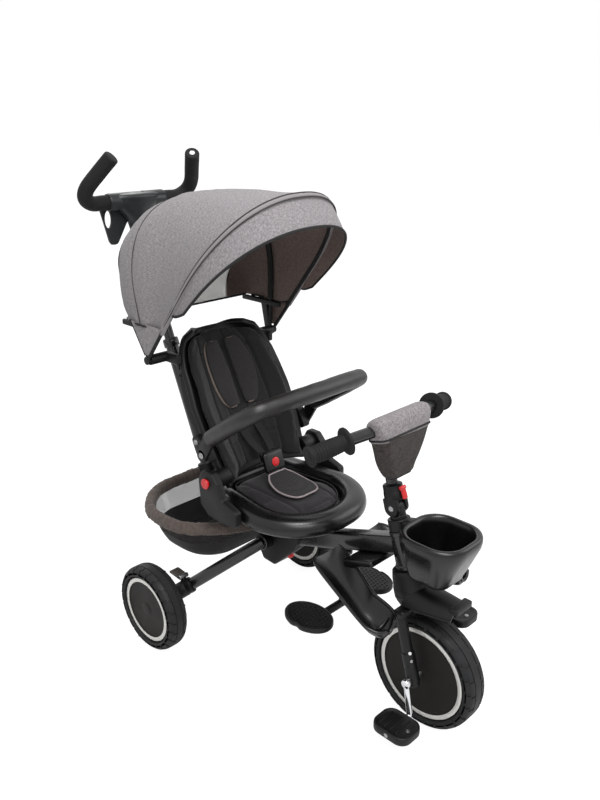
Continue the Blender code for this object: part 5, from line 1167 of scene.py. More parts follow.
def make_column():
    """The collar, the shaft, the knuckle's tongue and the red lock button in the collar."""
    foot = steered(0, 0, 0)
    settle(spun("column_collar", [
        (0, 0.3225), (0.015, 0.3225), (0.016, 0.3215), (0.016, 0.2923), (0.014, 0.2923), (0.014, 0.2135),
        (0.0305, 0.2135), (0.0315, 0.2125), (0.0325, 0.2068), (0.0338, 0.198), (0.035, 0.181), (0.036, 0.178),
        (0.036, 0.1655), (0.0355, COLLAR_BASE), (0, COLLAR_BASE),
    ], foot, STEER_UP, 72), "satin_abs", "steering", "steering_column")
    settle(rod("knuckle_eye", steered(-0.009, 0, KNUCKLE_PIVOT), steered(0.009, 0, KNUCKLE_PIVOT), 0.014),
           "satin_abs", "steering")
    settle(box("knuckle_tongue", (0.018, 0.028, 0.023), steered(0, 0, 0.3275), 0.002, -STEER_TILT),
           "satin_abs", "steering")
    angle = radians(12)
    out = Vector((-sin(angle), -cos(angle), 0))
    place = STEERING @ (out * 0.036 + Vector((0, 0, 0.197)))
    way = STEERING.to_3x3() @ out
    settle(spun("fork_lock_button", [
        (0, 0.003), (0.0025, 0.0032), (0.0052, 0.003), (0.0063, 0.002), (0.0065, 0.001), (0.0065, -0.008),
        (0, -0.008),
    ], place, way, 40), "red_abs", "fork_catch", "fork_button")
    settle(spun("fork_lock_bezel", [
        (0.0069, -0.004), (0.0069, 0.0006), (0.0078, 0.0012), (0.0092, 0.0002), (0.0098, -0.004),
    ], place, way, 40, True), "satin_abs", "steering")


def make_fender():
    """The arched mudguard with a rolled edge and a square tip."""
    rows = []
    for i in range(17):
        t = i / 16
        y = -0.545 - 0.104 * t
        half = 0.044 - 0.01 * t ** 2
        top = 0.302 - 0.006 * t
        drop = 0.034 * (1 - 0.5 * t)
        rows.append([at(half * s, y, top - drop * abs(s) ** 3) for s in [j / 12 - 1 for j in range(25)]])
    settle(laid("fender_skin", rows, 0.003, 1), "satin_abs", "steering", "fender", angle=50)
    settle(box("fender_tip", (0.05, 0.018, 0.014), at(0, -0.648, 0.2935), 0.003), "satin_abs", "steering")
    for side, sign in SIDES:
        column = 24 if sign > 0 else 0
        settle(tube("fender_edge" + side, [row[column] for row in rows[4:]], 0.0021, 12),
               "satin_abs", "steering")


def tray_ring(half, height, corner, ahead):
    return [at(p[0], TRAY_Y - ahead + p[1], height) for p in rounded_rectangle(half, -half, half, corner, 8)]


def make_tray():
    """An open box with tapering walls, a thick turned-out rim and a clamp round the column."""
    table = [
        (0.034, 0.3312, 0.018, -0.008), (0.0385, 0.3318, 0.02, -0.008), (0.0415, 0.3345, 0.021, -0.008),
        (0.045, 0.344, 0.024, -0.008), (0.053, 0.366, 0.03, -0.006), (0.062, 0.39, 0.042, -0.004),
        (0.068, 0.408, 0.048, -0.0025), (0.07, 0.418, 0.052, -0.002), (0.0698, 0.425, 0.052, -0.002),
        (0.068, 0.429, 0.05, -0.002), (0.064, 0.4304, 0.047, -0.002), (0.0595, 0.4296, 0.043, -0.002),
        (0.057, 0.4265, 0.041, -0.002), (0.0555, 0.416, 0.04, -0.0025), (0.05, 0.388, 0.033, -0.004),
        (0.042, 0.356, 0.022, -0.006), (0.0385, 0.344, 0.02, -0.008), (0.035, 0.341, 0.018, -0.008),
    ]
    settle(lofted("tray_box", [tray_ring(*ring) for ring in table]),
           "gloss_abs", "steering", "tray", "satin_plastic", 50)
    base = 0.2926
    settle(spun("tray_clamp", [
        (0.0163, base), (0.0213, base), (0.0225, base + 0.0012), (0.0225, base + 0.0218),
        (0.0213, base + 0.023), (0.0163, base + 0.023),
    ], steered(0, 0, 0), STEER_UP, 56, True), "satin_abs", "steering")
    settle(box("tray_web", (0.026, 0.024, 0.02), steered(0, -0.026, base + 0.0115), 0.003, -STEER_TILT),
           "satin_abs", "steering")


# Handlebar

def grip_axis(sign):
    start, end = mirrored(GRIP_START, sign), mirrored(GRIP_END, sign)
    return start, (end - start).normalized(), (end - start).length


def make_handlebar():
    """The stem, the cross tube, ribbed grips, the knuckle socket and its red lever."""
    stem = bent([(0, 0, 0.366), (0, 0, 0.4), (0, -BAR_FORWARD, BAR_HEIGHT)], 0.05)
    settle(tube("bar_stem", [STEERING @ p for p in stem], STEM_RADIUS),
           "black_enamel", "handlebar_assembly", "handlebar")
    halves = {}
    for side, sign in SIDES:
        start, along, length = grip_axis(sign)
        halves[sign] = [
            Vector((sign * 0.055, -BAR_FORWARD + 0.001, BAR_HEIGHT)), start, start + along * (length - 0.006),
        ]
    corners = halves[-1][::-1] + [Vector((0, -BAR_FORWARD, BAR_HEIGHT))] + halves[1]
    settle(tube("bar_cross", [STEERING @ p for p in bent(corners, 0.04, 6)], STEM_RADIUS),
           "black_enamel", "handlebar_assembly")
    for side, sign in SIDES:
        start, along, length = grip_axis(sign)
        profile = [
            (0, length), (0.004, length), (0.005, length - 0.0008), (0.0065, length - 0.0008),
            (0.0075, length), (0.0105, length), (0.0115, length - 0.0008), (0.013, length - 0.0008),
            (0.014, length), (0.018, length - 0.0004), (0.0192, length - 0.0018), (0.0192, length - 0.0052),
            (0.0178, length - 0.0068), (0.0158, length - 0.0078),
        ]
        ribs = 11
        pitch = (length - 0.02) / ribs
        for rib in range(ribs):
            high = length - 0.0085 - rib * pitch
            swell = 0.0012 * sin(pi * rib / (ribs - 1))
            profile += [
                (0.0155 + swell, high - pitch * 0.15), (0.0155 + swell, high - pitch * 0.65),
                (0.0147 + swell, high - pitch * 0.75), (0.0147 + swell, high - pitch * 0.95),
            ]
        profile += [
            (0.016, 0.0085), (0.025, 0.0058), (0.026, 0.0046), (0.026, 0.001), (0.025, 0), (0.0118, 0),
            (0.0118, length - 0.005), (0, length - 0.005),
        ]
        settle(spun("bar_grip" + side, profile, STEERING @ start, STEERING.to_3x3() @ along, 56),
               "grip_foam", "handlebar_assembly", "grip" + side)
    settle(spun("knuckle_socket", [
        (0, 0.386), (0.015, 0.386), (0.018, 0.3852), (0.0195, 0.3835), (0.0195, 0.372), (0.0202, 0.37),
        (0.0205, 0.362), (0.02, 0.3545), (0, 0.3538),
    ], steered(0, 0, 0), STEER_UP, 56), "satin_abs", "handlebar_assembly", "stem_socket")
    for side, sign in SIDES:
        settle(knuckle_cheek("knuckle_cheek" + side, sign), "satin_abs", "handlebar_assembly")
        settle(spun("knuckle_bolt" + side, [
            (0, 0.0012), (0.003, 0.0012), (0.0052, 0.0008), (0.006, 0), (0.006, -0.002), (0, -0.002),
        ], steered(sign * 0.0185, 0, KNUCKLE_PIVOT), (sign, 0, 0), 32), "zinc_bolt", "handlebar_assembly")
    dressed("stem_catch_lever", "stem_lever", "red_abs", "stem_catch", 0.0006, "red_plastic")


def knuckle_cheek(name, sign):
    """One round-footed cheek of the knuckle, in the raked steering frame."""
    turns = [pi + pi * i / 24 for i in range(25)]
    outline = [(0.016 * cos(t), KNUCKLE_PIVOT + 0.016 * sin(t)) for t in turns]
    outline += [(0.016, 0.359), (-0.016, 0.359)]
    low, high = sorted((sign * 0.0096, sign * 0.0185))
    piece = lofted(name, [[steered(x, y, z) for y, z in outline] for x in (low, high)])
    return rimmed(piece, 0.0012)


def make_pouch():
    """The cloth bag on the cross tube: a pale yoke over it and a darker hanging front."""
    levels = eased([
        (0.022, -0.03, -0.012, 0.4025), (0.033, -0.035, -0.007, 0.4065), (0.04, -0.04, -0.004, 0.421),
        (0.049, -0.049, -0.008, 0.441), (0.058, -0.057, -0.014, 0.462), (0.067, -0.064, -0.021, 0.484),
        (0.075, -0.0675, -0.026, 0.504), (0.0775, -0.066, -0.028, 0.519), (0.0745, -0.061, -0.033, 0.5265),
        (0.066, -0.054, -0.04, 0.5295),
    ], 4)
    rings = []
    for half, front, rear, height in levels:
        ring = rounded_rectangle(half, front, rear, 0.011, 7)
        rings.append([steered(p[0], p[1], height) for p in ring])
    split = next(i for i, level in enumerate(levels) if level[3] > 0.486)
    lower = lofted("pouch_front", rings[:split + 1])
    wrinkled(lower, 0.0022, 0.022, (1, 1, 0.6), 5)
    settle(lower, "pouch_mesh", "handlebar_assembly", "handlebar_pouch", angle=80)
    upper_rings = [scaled(ring, 1.012) for ring in rings[split - 1:]]
    upper = lofted("pouch_yoke", upper_rings)
    wrinkled(upper, 0.0014, 0.02, (1, 1, 1), 7)
    settle(upper, "pouch_linen", "handlebar_assembly", angle=80)
    for label, ring in (("mid", rings[split]), ("foot", rings[2])):
        loop = resampled(ring + [ring[0]], 0.004)
        middle = sum(ring, Vector()) / len(ring)
        loop = [middle + (p - middle) * 1.015 for p in loop]
        settle(tube("pouch_seam_" + label, loop + [loop[0]], 0.0022 if label == "mid" else 0.0013, 8),
               "binding_tape", "handlebar_assembly")


# Seat

def seat_ring(inset, height, steps=16):
    """The seat's outline: straight sides, a rounded front and small rear corners."""
    half = 0.15 - inset
    front = -0.365 + inset
    rear = -0.045 - inset * 0.6
    corner = 0.14 - inset * 0.85
    points = []
    for side in (1, -1):
        for step in range(steps):
            turn = pi / 2 * step / (steps - 1)
            if side < 0:
                turn = pi / 2 - turn
            x = half - corner + corner * cos(turn)
            points.append((side * x, front + corner - corner * sin(turn)))
    rear_corner = 0.035
    for side in (-1, 1):
        for step in range(steps // 2):
            turn = pi / 2 * step / (steps // 2 - 1)
            if side > 0:
                turn = pi / 2 - turn
            points.append((
                side * (half * 0.86 - rear_corner + rear_corner * cos(turn)),
                rear - rear_corner + rear_corner * sin(turn),
            ))
    return [at(x, y, height) for x, y in points]


def make_seat():
    """The dished shell with a thick rolled rim and parting line, its boss, and the cloth pad."""
    profile = eased([
        (0.034, 0.3382), (0.03, 0.3385), (0.016, 0.344), (0.004, 0.35), (0.0002, 0.359), (0.002, 0.371),
        (0.008, 0.38), (0.018, 0.3845), (0.03, 0.3852), (0.042, 0.382), (0.049, 0.3755), (0.052, 0.366),
        (0.054, 0.3545),
    ], 3)
    settle(lofted("seat_dish", [seat_ring(max(0, p[0]), p[1]) for p in profile]),
           "gloss_abs", "seat", "seat_shell", angle=60)
    line = resampled(seat_ring(0.006, 0.3492) + [seat_ring(0.006, 0.3492)[0]], 0.006)
    settle(tube("seat_parting_line", line + [line[0]], 0.0007, 8), "grey_abs", "seat", slot="gloss_plastic")
    settle(rod("seat_boss", at(0, -0.17, 0.3223), at(0, -0.17, 0.342), 0.046, steps=64), "satin_abs", "seat")
    floor = SEAT_LINE
    pad = lofted("seat_cushion", [
        seat_ring(0.062, floor + 0.001), seat_ring(0.058, floor + 0.006), seat_ring(0.058, floor + 0.013),
        seat_ring(0.064, floor + 0.017), seat_ring(0.078, floor + 0.019), seat_ring(0.1, floor + 0.02),
    ])
    puffed(pad, 0.005, 3, 0.005)
    keep_in_dish(pad)
    settle(pad, "seat_cloth", "seat", "seat_pad", angle=80)
    welt = resampled(seat_ring(0.0605, floor + 0.0185) + [seat_ring(0.0605, floor + 0.0185)[0]], 0.005)
    settle(tube("seat_welt", welt + [welt[0]], 0.0017, 10), "binding_tape", "seat")


def keep_in_dish(pad):
    """Draw two sewn channels into the seat cushion and hold it above the dish's floor."""
    for vertex in pad.data.vertices:
        x, y = vertex.co.x, vertex.co.y - AXLE_Y
        if vertex.co.z > 0.364:
            edge = min(abs(abs(x) - 0.052), abs(y + 0.285) if abs(x) < 0.052 else 1)
            if y > -0.287:
                vertex.co.z -= 0.0035 * exp(-(edge / 0.004) ** 2)
        vertex.co.z = max(vertex.co.z, 0.3545)
    pad.data.update()


def make_seat_fittings():
    """The side brackets with their red buttons, the crotch pad with pale piping, and the buckle."""
    for side, sign in SIDES:
        outline = softened([
            (-0.206, 0.348), (-0.16, 0.344), (-0.118, 0.346), (-0.092, 0.366), (-0.087, 0.424), (-0.1, 0.448),
            (-0.13, 0.448), (-0.147, 0.43), (-0.162, 0.396), (-0.206, 0.382),
        ], 0.009)
        low, high = sorted((sign * 0.1503, sign * 0.1683))
        settle(slab("hinge_bracket" + side, outline, low, high, 0.003),
               "satin_abs", "seat", "seat_bracket" + side)
        place = at(sign * 0.1683, HINGE.y, HINGE.z)
        settle(spun("recline_catch_button" + side, [
            (0, 0.0062), (0.004, 0.0063), (0.0084, 0.007), (0.0106, 0.0066), (0.0114, 0.0056),
            (0.0114, 0.0047), (0.0088, 0.0045), (0.0088, -0.0055), (0, -0.0055),
        ], place, (sign, 0, 0), 48), "red_abs", "recline_catch" + side, "recline_button" + side)
        settle(spun("recline_bezel" + side, [
            (0.0124, -0.002), (0.0124, 0.0006), (0.0134, 0.0012), (0.015, 0.0008), (0.016, 0),
            (0.016, -0.002),
        ], place, (sign, 0, 0), 48, True), "satin_abs", "seat")
    out = Vector((0, -cos(BUCKLE_TILT), -sin(BUCKLE_TILT)))
    place = at(*BUCKLE_PLACE)
    settle(box("buckle_case", (0.056, 0.015, 0.046), place + Vector((0, 0, 0.002)), 0.0065, BUCKLE_TILT),
           "gloss_abs", "seat", "buckle")
    settle(spun("buckle_red_button", [
        (0, 0.0102), (0.005, 0.0101), (0.0088, 0.0096), (0.0104, 0.0086), (0.0106, 0.0078),
        (0.0085, 0.0078), (0.0085, 0.0052), (0, 0.0052),
    ], place, out, 40), "red_abs", "buckle_catch", "buckle_button")
    settle(spun("buckle_well", [
        (0.011, 0.006), (0.011, 0.0082), (0.0119, 0.0086), (0.0134, 0.0078), (0.014, 0.006),
    ], place, out, 40, True), "gloss_abs", "seat")
    line = eased([
        (-0.252, 0.3835, 0.018), (-0.246, 0.3845, 0.032), (-0.225, 0.386, 0.042), (-0.195, 0.388, 0.043),
        (-0.168, 0.3945, 0.036), (-0.152, 0.401, 0.024),
    ], 5)
    rows = [[at(half * (j / 8 - 1), y, z) for j in range(17)] for y, z, half in line]
    rows = [[p + Vector((0, -0.001, 0.0022)) * (1 - (p.x / 0.043) ** 2) for p in row] for row in rows]
    pad = laid("crotch_cushion", rows, 0.009, 0)
    rimmed(pad, 0.003)
    settle(pad, "strap_cloth", "seat", "crotch_pad", angle=80)
    rim = [row[0] for row in rows] + rows[-1][1:-1] + [row[-1] for row in rows[::-1]] + rows[0][-2:0:-1]
    lift = Vector((0, -0.0015, 0.003))
    settle(tube("crotch_piping", [p + lift for p in rim] + [rim[0] + lift], 0.0021, 10),
           "pale_piping", "seat")


# Backrest

def back_point(across, z, ahead=0, trim=0):
    """A point on the hollow front of the back panel, from -1 to 1 across, moved ahead of it."""
    half = between(BACK_WIDTHS, z) - trim
    wing = 0.044 * abs(across) ** 2.4
    return at(across * half, between(BACK_LINE, z) - wing - ahead, z)


def back_heights(low, high, count):
    return [low + (high - low) * i / (count - 1) for i in range(count)]


def make_back_shell():
    """The hollow panel and its hinge ears."""
    rows = [[back_point(2 * j / 32 - 1, z) for j in range(33)] for z in back_heights(0.4, 0.7, 32)]
    shell = laid("back_panel", rows, PANEL_THICKNESS, -1)
    rimmed(shell, 0.003)
    settle(shell, "satin_abs", "backrest", "backrest_shell", angle=60)
    for side, sign in SIDES:
        start, end = (at(sign * x, HINGE.y, HINGE.z) for x in (0.112, 0.15))
        settle(rod("hinge_ear" + side, start, end, 0.0195, 0.002), "satin_abs", "backrest")


def make_back_pad():
    """The liner: a swollen pad with raised side bolsters and sewn channels."""
    rows = []
    for z in back_heights(0.409, 0.694, 34):
        ends = min(1, (z - 0.405) / 0.012, (0.698 - z) / 0.014)
        rows.append([back_point(2 * j / 40 - 1, z, 0.0006 + 0.001 * (1 - ends), 0.01) for j in range(41)])
    pad = laid("back_cushion", rows, 0.011, 1)
    puffed(pad, 0.005, 3.5, 0.0045)
    for vertex in pad.data.vertices:
        z = vertex.co.z
        half = between(BACK_WIDTHS, z)
        share = abs(vertex.co.x) / half
        floor = back_point(vertex.co.x / half, z).y
        proud = floor - vertex.co.y
        if proud > 0.006:
            groove = 0.0052 * exp(-((share - 0.56) * half / 0.0035) ** 2)
            groove += 0.003 * exp(-((share - 0.3) * half / 0.003) ** 2)
            for seam in (0.47, 0.655):
                if share < 0.56:
                    groove += 0.003 * exp(-((z - seam) / 0.0035) ** 2)
            bolster = 0.003 * exp(-((share - 0.8) / 0.16) ** 2)
            vertex.co.y += groove - bolster
        vertex.co.y = min(vertex.co.y, floor - 0.0004)
    pad.data.update()
    settle(pad, "pad_cloth", "backrest", "backrest_pad", angle=80)


def make_harness():
    """Two shoulder pads with taupe piping, the webbing under them and the joining tongue."""
    ahead = PAD_FRONT + 0.0042
    for side, sign in SIDES:
        line = eased([
            (0.672, 0.026, 0.012), (0.662, 0.0305, 0.0195), (0.63, 0.0345, 0.0255), (0.59, 0.0345, 0.0255),
            (0.556, 0.03, 0.02), (0.54, 0.024, 0.012),
        ], 6)
        rows = []
        for z, x, half in line:
            width = between(BACK_WIDTHS, z)
            rows.append([
                back_point((sign * x + s * half) / width, z, ahead + 0.0035 * (1 - s * s)) for s in
                [j / 6 - 1 for j in range(13)]
            ])
        pad = laid("shoulder_pad" + side, rows, 0.0075, -1)
        rimmed(pad, 0.0025)
        settle(pad, "strap_cloth", "backrest", "harness" if sign < 0 else (), angle=80)
        outer = -1 if sign > 0 else 0
        rim = rows[0][3:-1] if sign > 0 else rows[0][-4:0:-1]
        rim = rim + [row[outer] for row in rows] + (rows[-1][-2:2:-1] if sign > 0 else rows[-1][1:-3])
        shift = Vector((0, -0.0008, 0))
        settle(tube("shoulder_piping" + side, [p + shift for p in rim], 0.0031, 12),
               "taupe_piping", "backrest")
        route = [back_point(sign * x / between(BACK_WIDTHS, z), z, ahead - 0.002) for z, x in
                 ((0.69, 0.026), (0.66, 0.03), (0.6, 0.032), (0.555, 0.028), (0.52, 0.025), (0.5, 0.024))]
        route += [at(sign * 0.0215, -0.098, 0.466), at(sign * 0.014, -0.1235, 0.447)]
        centre = eased(route, 6)
        rows = []
        for index, point in enumerate(centre):
            half = 0.0105 - 0.002 * max(0, index / len(centre) - 0.8) / 0.2
            rows.append([point + Vector((s * half, 0, 0)) for s in (-1, -0.5, 0, 0.5, 1)])
        strap = laid("shoulder_webbing" + side, rows, 0.0022, 0)
        settle(strap, "webbing", "backrest", angle=60)
        slider_place = back_point(sign * 0.0245 / between(BACK_WIDTHS, 0.515), 0.515, ahead + 0.0015)
        tilt = radians(-26)
        settle(box("strap_slider" + side, (0.026, 0.005, 0.012), slider_place, 0.0018, tilt, 3),
               "satin_abs", "backrest", slot="gloss_plastic")
    settle(box("buckle_tongue", (0.046, 0.008, 0.018), at(0, -0.1268, 0.4385), 0.003, BUCKLE_TILT),
           "gloss_abs", "backrest")


def make_pocket():
    """The slack bag on the back of the panel, with a hem along its mouth."""
    lean = 0.48
    behind = PANEL_THICKNESS / cos(lean) + 0.0005
    table = eased([
        (0.44, 0.016, 0.082), (0.446, 0.034, 0.09), (0.46, 0.05, 0.0935), (0.49, 0.06, 0.094),
        (0.53, 0.064, 0.094), (0.575, 0.058, 0.0935), (0.606, 0.048, 0.09), (0.614, 0.04, 0.086),
    ], 4)
    rings = []
    for z, depth, width in table:
        front = between(BACK_LINE, z) + behind
        ring = rounded_rectangle(width, front, front + depth, min(0.016, depth * 0.4), 7)
        rings.append([at(p[0], p[1], z) for p in ring])
    pocket = wrinkled(lofted("rear_pocket", rings), 0.003, 0.04, (1, 1, 0.6), 2)
    settle(pocket, "pad_cloth", "backrest", "back_pocket", angle=80)
    ring = scaled(rings[-6], 1.012)
    loop = resampled(ring + [ring[0]], 0.005)
    settle(tube("pocket_hem", loop + [loop[0]], 0.002, 8), "binding_tape", "backrest")


def make_back_fittings():
    """The guard sockets with their release buttons, and the clamps of the hood with two bolts."""
    for side, sign in SIDES:
        dressed("guard_lug" + side, "guard_socket" + side, "satin_abs", "backrest", 0.0012, "satin_plastic")
        place = at(sign * 0.152, -0.064, 0.496)
        settle(spun("guard_release" + side, [
            (0, 0.0034), (0.0022, 0.0035), (0.0046, 0.003), (0.0058, 0.0018), (0.006, 0.0006),
            (0.006, -0.0035), (0, -0.0035),
        ], place, (sign, 0, 0), 36), "grey_abs", "guard_catch" + side, "guard_button" + side)
        dressed("hood_clamp" + side, "canopy_clamp" + side, "satin_abs", "backrest", 0.0009, "satin_plastic")
        for index, (y, z) in enumerate(((0.048, 0.66), (0.06, 0.712))):
            x = HOOD_PIVOT.x - 0.0043 if index == 0 else 0.179
            settle(spun("clamp_bolt%s_%d" % (side, index), [
                (0, 0.0014), (0.002, 0.0014), (0.004, 0.0008), (0.0048, 0), (0.0048, -0.002),
                (0, -0.002),
            ], at(sign * x, y, z), (sign, 0, 0), 24), "zinc_bolt", "backrest")


def make_guard():
    """The hoop under coated cloth, with its sewn seam, arms and eyes."""
    half = [(0.1545, -0.118, 0.522), (0.16, -0.238, 0.604), (0.118, -0.266, 0.622), (0, -0.276, 0.627)]
    path = [at(*p) for p in eased([*half, *[(-x, y, z) for x, y, z in half[-2::-1]]], 14)]
    last = len(path) - 1
    radii = [0.0172 + 0.0014 * min(1, i / 4, (last - i) / 4) for i in range(last + 1)]
    hoop = tube("guard_hoop", path, radii, 32)
    wrinkled(hoop, 0.0007, 0.02, (1, 1, 1), 4)
    settle(hoop, "leatherette", "guard", "guard_bar", angle=60)
    rings = tube_rings(path, 0.0189, 32)
    seam_side = min(range(32), key=lambda i: rings[len(rings) // 2][i].z)
    settle(tube("guard_seam", [ring[seam_side] for ring in rings[2:-2]], 0.001, 8), "leatherette", "guard")
    for side, sign in SIDES:
        low, high = sorted((sign * GUARD_PIVOT.x, sign * (GUARD_PIVOT.x + 0.008)))
        settle(slab("guard_arm" + side, softened([
            (-0.101, 0.466), (-0.079, 0.482), (-0.104, 0.534), (-0.132, 0.518),
        ], 0.01), low, high, 0.0015), "satin_abs", "guard")
        start, end = (at(x, GUARD_PIVOT.y, GUARD_PIVOT.z) for x in (low, high))
        settle(rod("guard_eye" + side, start, end, 0.014), "satin_abs", "guard")
        settle(spun("guard_eye_cap" + side, [
            (0, 0.0016), (0.003, 0.0016), (0.006, 0.001), (0.007, 0), (0.007, -0.002), (0, -0.002),
        ], at(sign * (GUARD_PIVOT.x + 0.008), GUARD_PIVOT.y, GUARD_PIVOT.z), (sign, 0, 0), 32),
               "zinc_bolt", "guard")


# Hood

def hood_arch(share, lean, length, half_width, shoulder, start, shift=0, power=2.3):
    """A point of a hood bow. The share runs from -1 on the right over 0 at the top to 1 on the left."""
    side = copysign(1, share) if share else 0
    from_top = abs(share)
    straight = 0.3
    if from_top > 1 - straight:
        up = shoulder - (shoulder - start) * (from_top - (1 - straight)) / straight
        across = half_width
    else:
        turn = pi / 2 * from_top / (1 - straight)
        across = half_width * sin(turn) ** (2 / power)
        up = shoulder + (length - shoulder) * cos(turn) ** (2 / power)
    lean = radians(lean)
    forward = sin(lean) * up + shift * cos(lean)
    height = cos(lean) * up - shift * sin(lean)
    return at(side * across, HOOD_PIVOT.y - forward, HOOD_PIVOT.z + height)


HOOD_TABLE = [
    (-42, 0.225, 0.115, 0.177), (-32, 0.314, 0.125, 0.182), (-20, 0.33, 0.13, 0.186),
    (-6, 0.338, 0.13, 0.186), (7, 0.352, 0.13, 0.185), (17, 0.37, 0.15, 0.183),
    (27, 0.396, 0.175, 0.182), (38, 0.44, 0.198, 0.182),
]


def hood_shares(count=48):
    """Shares with more points near the shoulders, where a bow bends most."""
    line = []
    for i in range(count + 1):
        s = 2 * i / count - 1
        line.append(copysign(abs(s) ** 1.15, s) if s else 0)
    return line


def hood_rows():
    """Rows of the hood from its rear strap to its front bow."""
    shares = hood_shares()
    rows = []
    keys = eased(HOOD_TABLE, 4)
    for lean, length, shoulder, half_width in keys:
        start = (HOOD_EDGE - HOOD_PIVOT.z) / cos(radians(lean))
        shift = -0.0055 * max(0, (lean - 30) / 8)
        sag = 0
        for low, high, depth in ((-40, -20, 0.002), (-20, -6, 0.0025), (-6, 38, 0.006)):
            if low < lean < high:
                sag = depth * sin(pi * (lean - low) / (high - low))
        rows.append([
            hood_arch(s, lean, length - sag, half_width - sag * 0.7, shoulder, start, shift) for s in shares
        ])
    strap = []
    for s in shares:
        strap.append(at(0.172 * sin(pi / 2 * s), 0.133, HOOD_EDGE))
    first = rows[0]
    lead = []
    for step in range(5):
        t = step / 5
        bulge = 0.006 * sin(pi * t)
        lead.append([a.lerp(b, t) + Vector((0, bulge, 0)) for a, b in zip(strap, first)])
    return lead + rows, [None] * 5 + [key[0] for key in keys]


def thick_with_painted_shade(piece, thickness, offset, *more):
    """Make a sheet thick, with linen outside and lining inside and on its rim."""
    for look in ("hood_linen", "hood_lining", *more):
        piece.data.materials.append(finish(look))
    with_modifier(
        piece, "SOLIDIFY", thickness=thickness, offset=offset, material_offset=1, material_offset_rim=1,
    )


def blend_over_bow(piece):
    """Let cloth between the fixed rear bow and the moving front bow share their motion."""
    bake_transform(piece)


def make_hood():
    """The hood: one curved cloth skin with its window, seams, bows, bindings and strap."""
    rows, leans = hood_rows()
    hood = laid("hood_skin", [row[::-1] for row in rows])
    wrinkled(hood, 0.0028, 0.075, (1, 1, 1), 6)
    wrinkled(hood, 0.0012, 0.028, (1, 1, 0.6), 8)
    columns = len(rows[0]) - 1
    window_rows, side_columns = 9, 12
    for face in hood.data.polygons:
        row, column = divmod(face.index, columns)
        if row < window_rows and side_columns <= column < columns - side_columns:
            face.material_index = 2
    thick_with_painted_shade(hood, 0.0022, -1, "window_net", "window_net")
    settle(hood, "hood_linen", None, "canopy", angle=80)
    blend_over_bow(hood)

    def row_at(lean):
        known = [i for i, value in enumerate(leans) if value is not None]
        return rows[min(known, key=lambda i: abs(leans[i] - lean))]

    settle(tube("hood_rear_seam", row_at(-13), 0.0012, 8), "seam_thread", "backrest", slot="hood_fabric")
    bow = [hood_arch(s, 2, 0.33, 0.1748, 0.126, 0.016) for s in hood_shares()]
    settle(tube("hood_rear_bow", bow, 0.0042, 12), "satin_abs", "backrest", slot="bow_steel")
    cover = [hood_arch(s, 1, 0.331, 0.1752, 0.126, 0.08) for s in hood_shares()]
    band = tube("hood_rear_bow_sleeve", cover, 0.0068, 14)
    wrinkled(band, 0.0008, 0.012, (1, 1, 1), 13)
    settle(band, "binding_tape", "backrest", angle=80)
    low = HOOD_EDGE - HOOD_PIVOT.z + 0.014
    channel = [hood_arch(s, BOW_LEAN, 0.442, HOOD_PIVOT.x, 0.2, low) for s in hood_shares()]
    sleeve = tube("hood_bow_channel", channel, 0.0058, 14)
    wrinkled(sleeve, 0.0008, 0.012, (1, 1, 1), 11)
    settle(sleeve, "hood_linen", "canopy_front", angle=80)
    for label, lean in (("front", BOW_LEAN + 0.75), ("rear", BOW_LEAN - 0.75)):
        line = [hood_arch(s, lean, 0.4462, HOOD_PIVOT.x + 0.0042, 0.202, low) for s in hood_shares()]
        settle(tube("hood_piping_" + label, line, 0.0014, 8), "seam_thread", "canopy_front")
    inside = [hood_arch(s, BOW_LEAN - 0.3, 0.4385, HOOD_PIVOT.x - 0.003, 0.198, low) for s in hood_shares()]
    settle(tube("hood_bow_tape", inside, 0.0052, 12), "binding_tape", "canopy_front")
    dressed("hood_front_bow", "canopy_bow_front", "satin_abs", "canopy_front", 0, "bow_steel", 60)
    for label, column in (("right", 0), ("left", -1)):
        binding = tube("hood_edge_binding_" + label, [row[column] for row in rows[5:]], 0.0026, 10)
        settle(binding, "binding_tape", None)
        blend_over_bow(binding)
    settle(tube("hood_rear_binding", rows[0], 0.0026, 10), "binding_tape", "backrest")
    lift = Vector((0, 0.0006, 0.0006))
    window = [row[side_columns] for row in rows[:window_rows]]
    window += rows[window_rows][side_columns:-side_columns]
    window += [row[-side_columns - 1] for row in rows[window_rows - 1::-1]]
    window = [point + lift for point in window]
    settle(tube("hood_window_hem", window, 0.0018, 8), "binding_tape", "backrest")
    make_gussets()
    make_ridge_strap()


def make_gussets():
    """Fans of cloth that run from the hood's lower edges down to the pivots, bound in black."""
    for side, sign in SIDES:
        rows = []
        for step in range(13):
            lean = -34 + 71 * step / 12
            edge = (HOOD_EDGE + 0.004 - HOOD_PIVOT.z) / cos(radians(lean))
            row = []
            for j in range(9):
                share = j / 8
                reach = edge + (0.013 - edge) * share
                x = HOOD_PIVOT.x + 0.0004 + 0.001 * abs(sin(step * 1.3)) * sin(pi * share)
                row.append(at(
                    sign * x, HOOD_PIVOT.y - sin(radians(lean)) * reach,
                    HOOD_PIVOT.z + cos(radians(lean)) * reach,
                ))
            rows.append(row)
        gusset = laid("hood_gusset" + side, rows if sign < 0 else [row[::-1] for row in rows])
        thick_with_painted_shade(gusset, 0.0018, 0)
        settle(gusset, "hood_linen", None, angle=80)
        blend_over_bow(gusset)
        for label, line in (("rear", rows[0]), ("front", rows[-1])):
            settle(tube("gusset_%s_binding%s" % (label, side), line, 0.0022, 10),
                   "binding_tape", "backrest" if label == "rear" else "canopy_front")


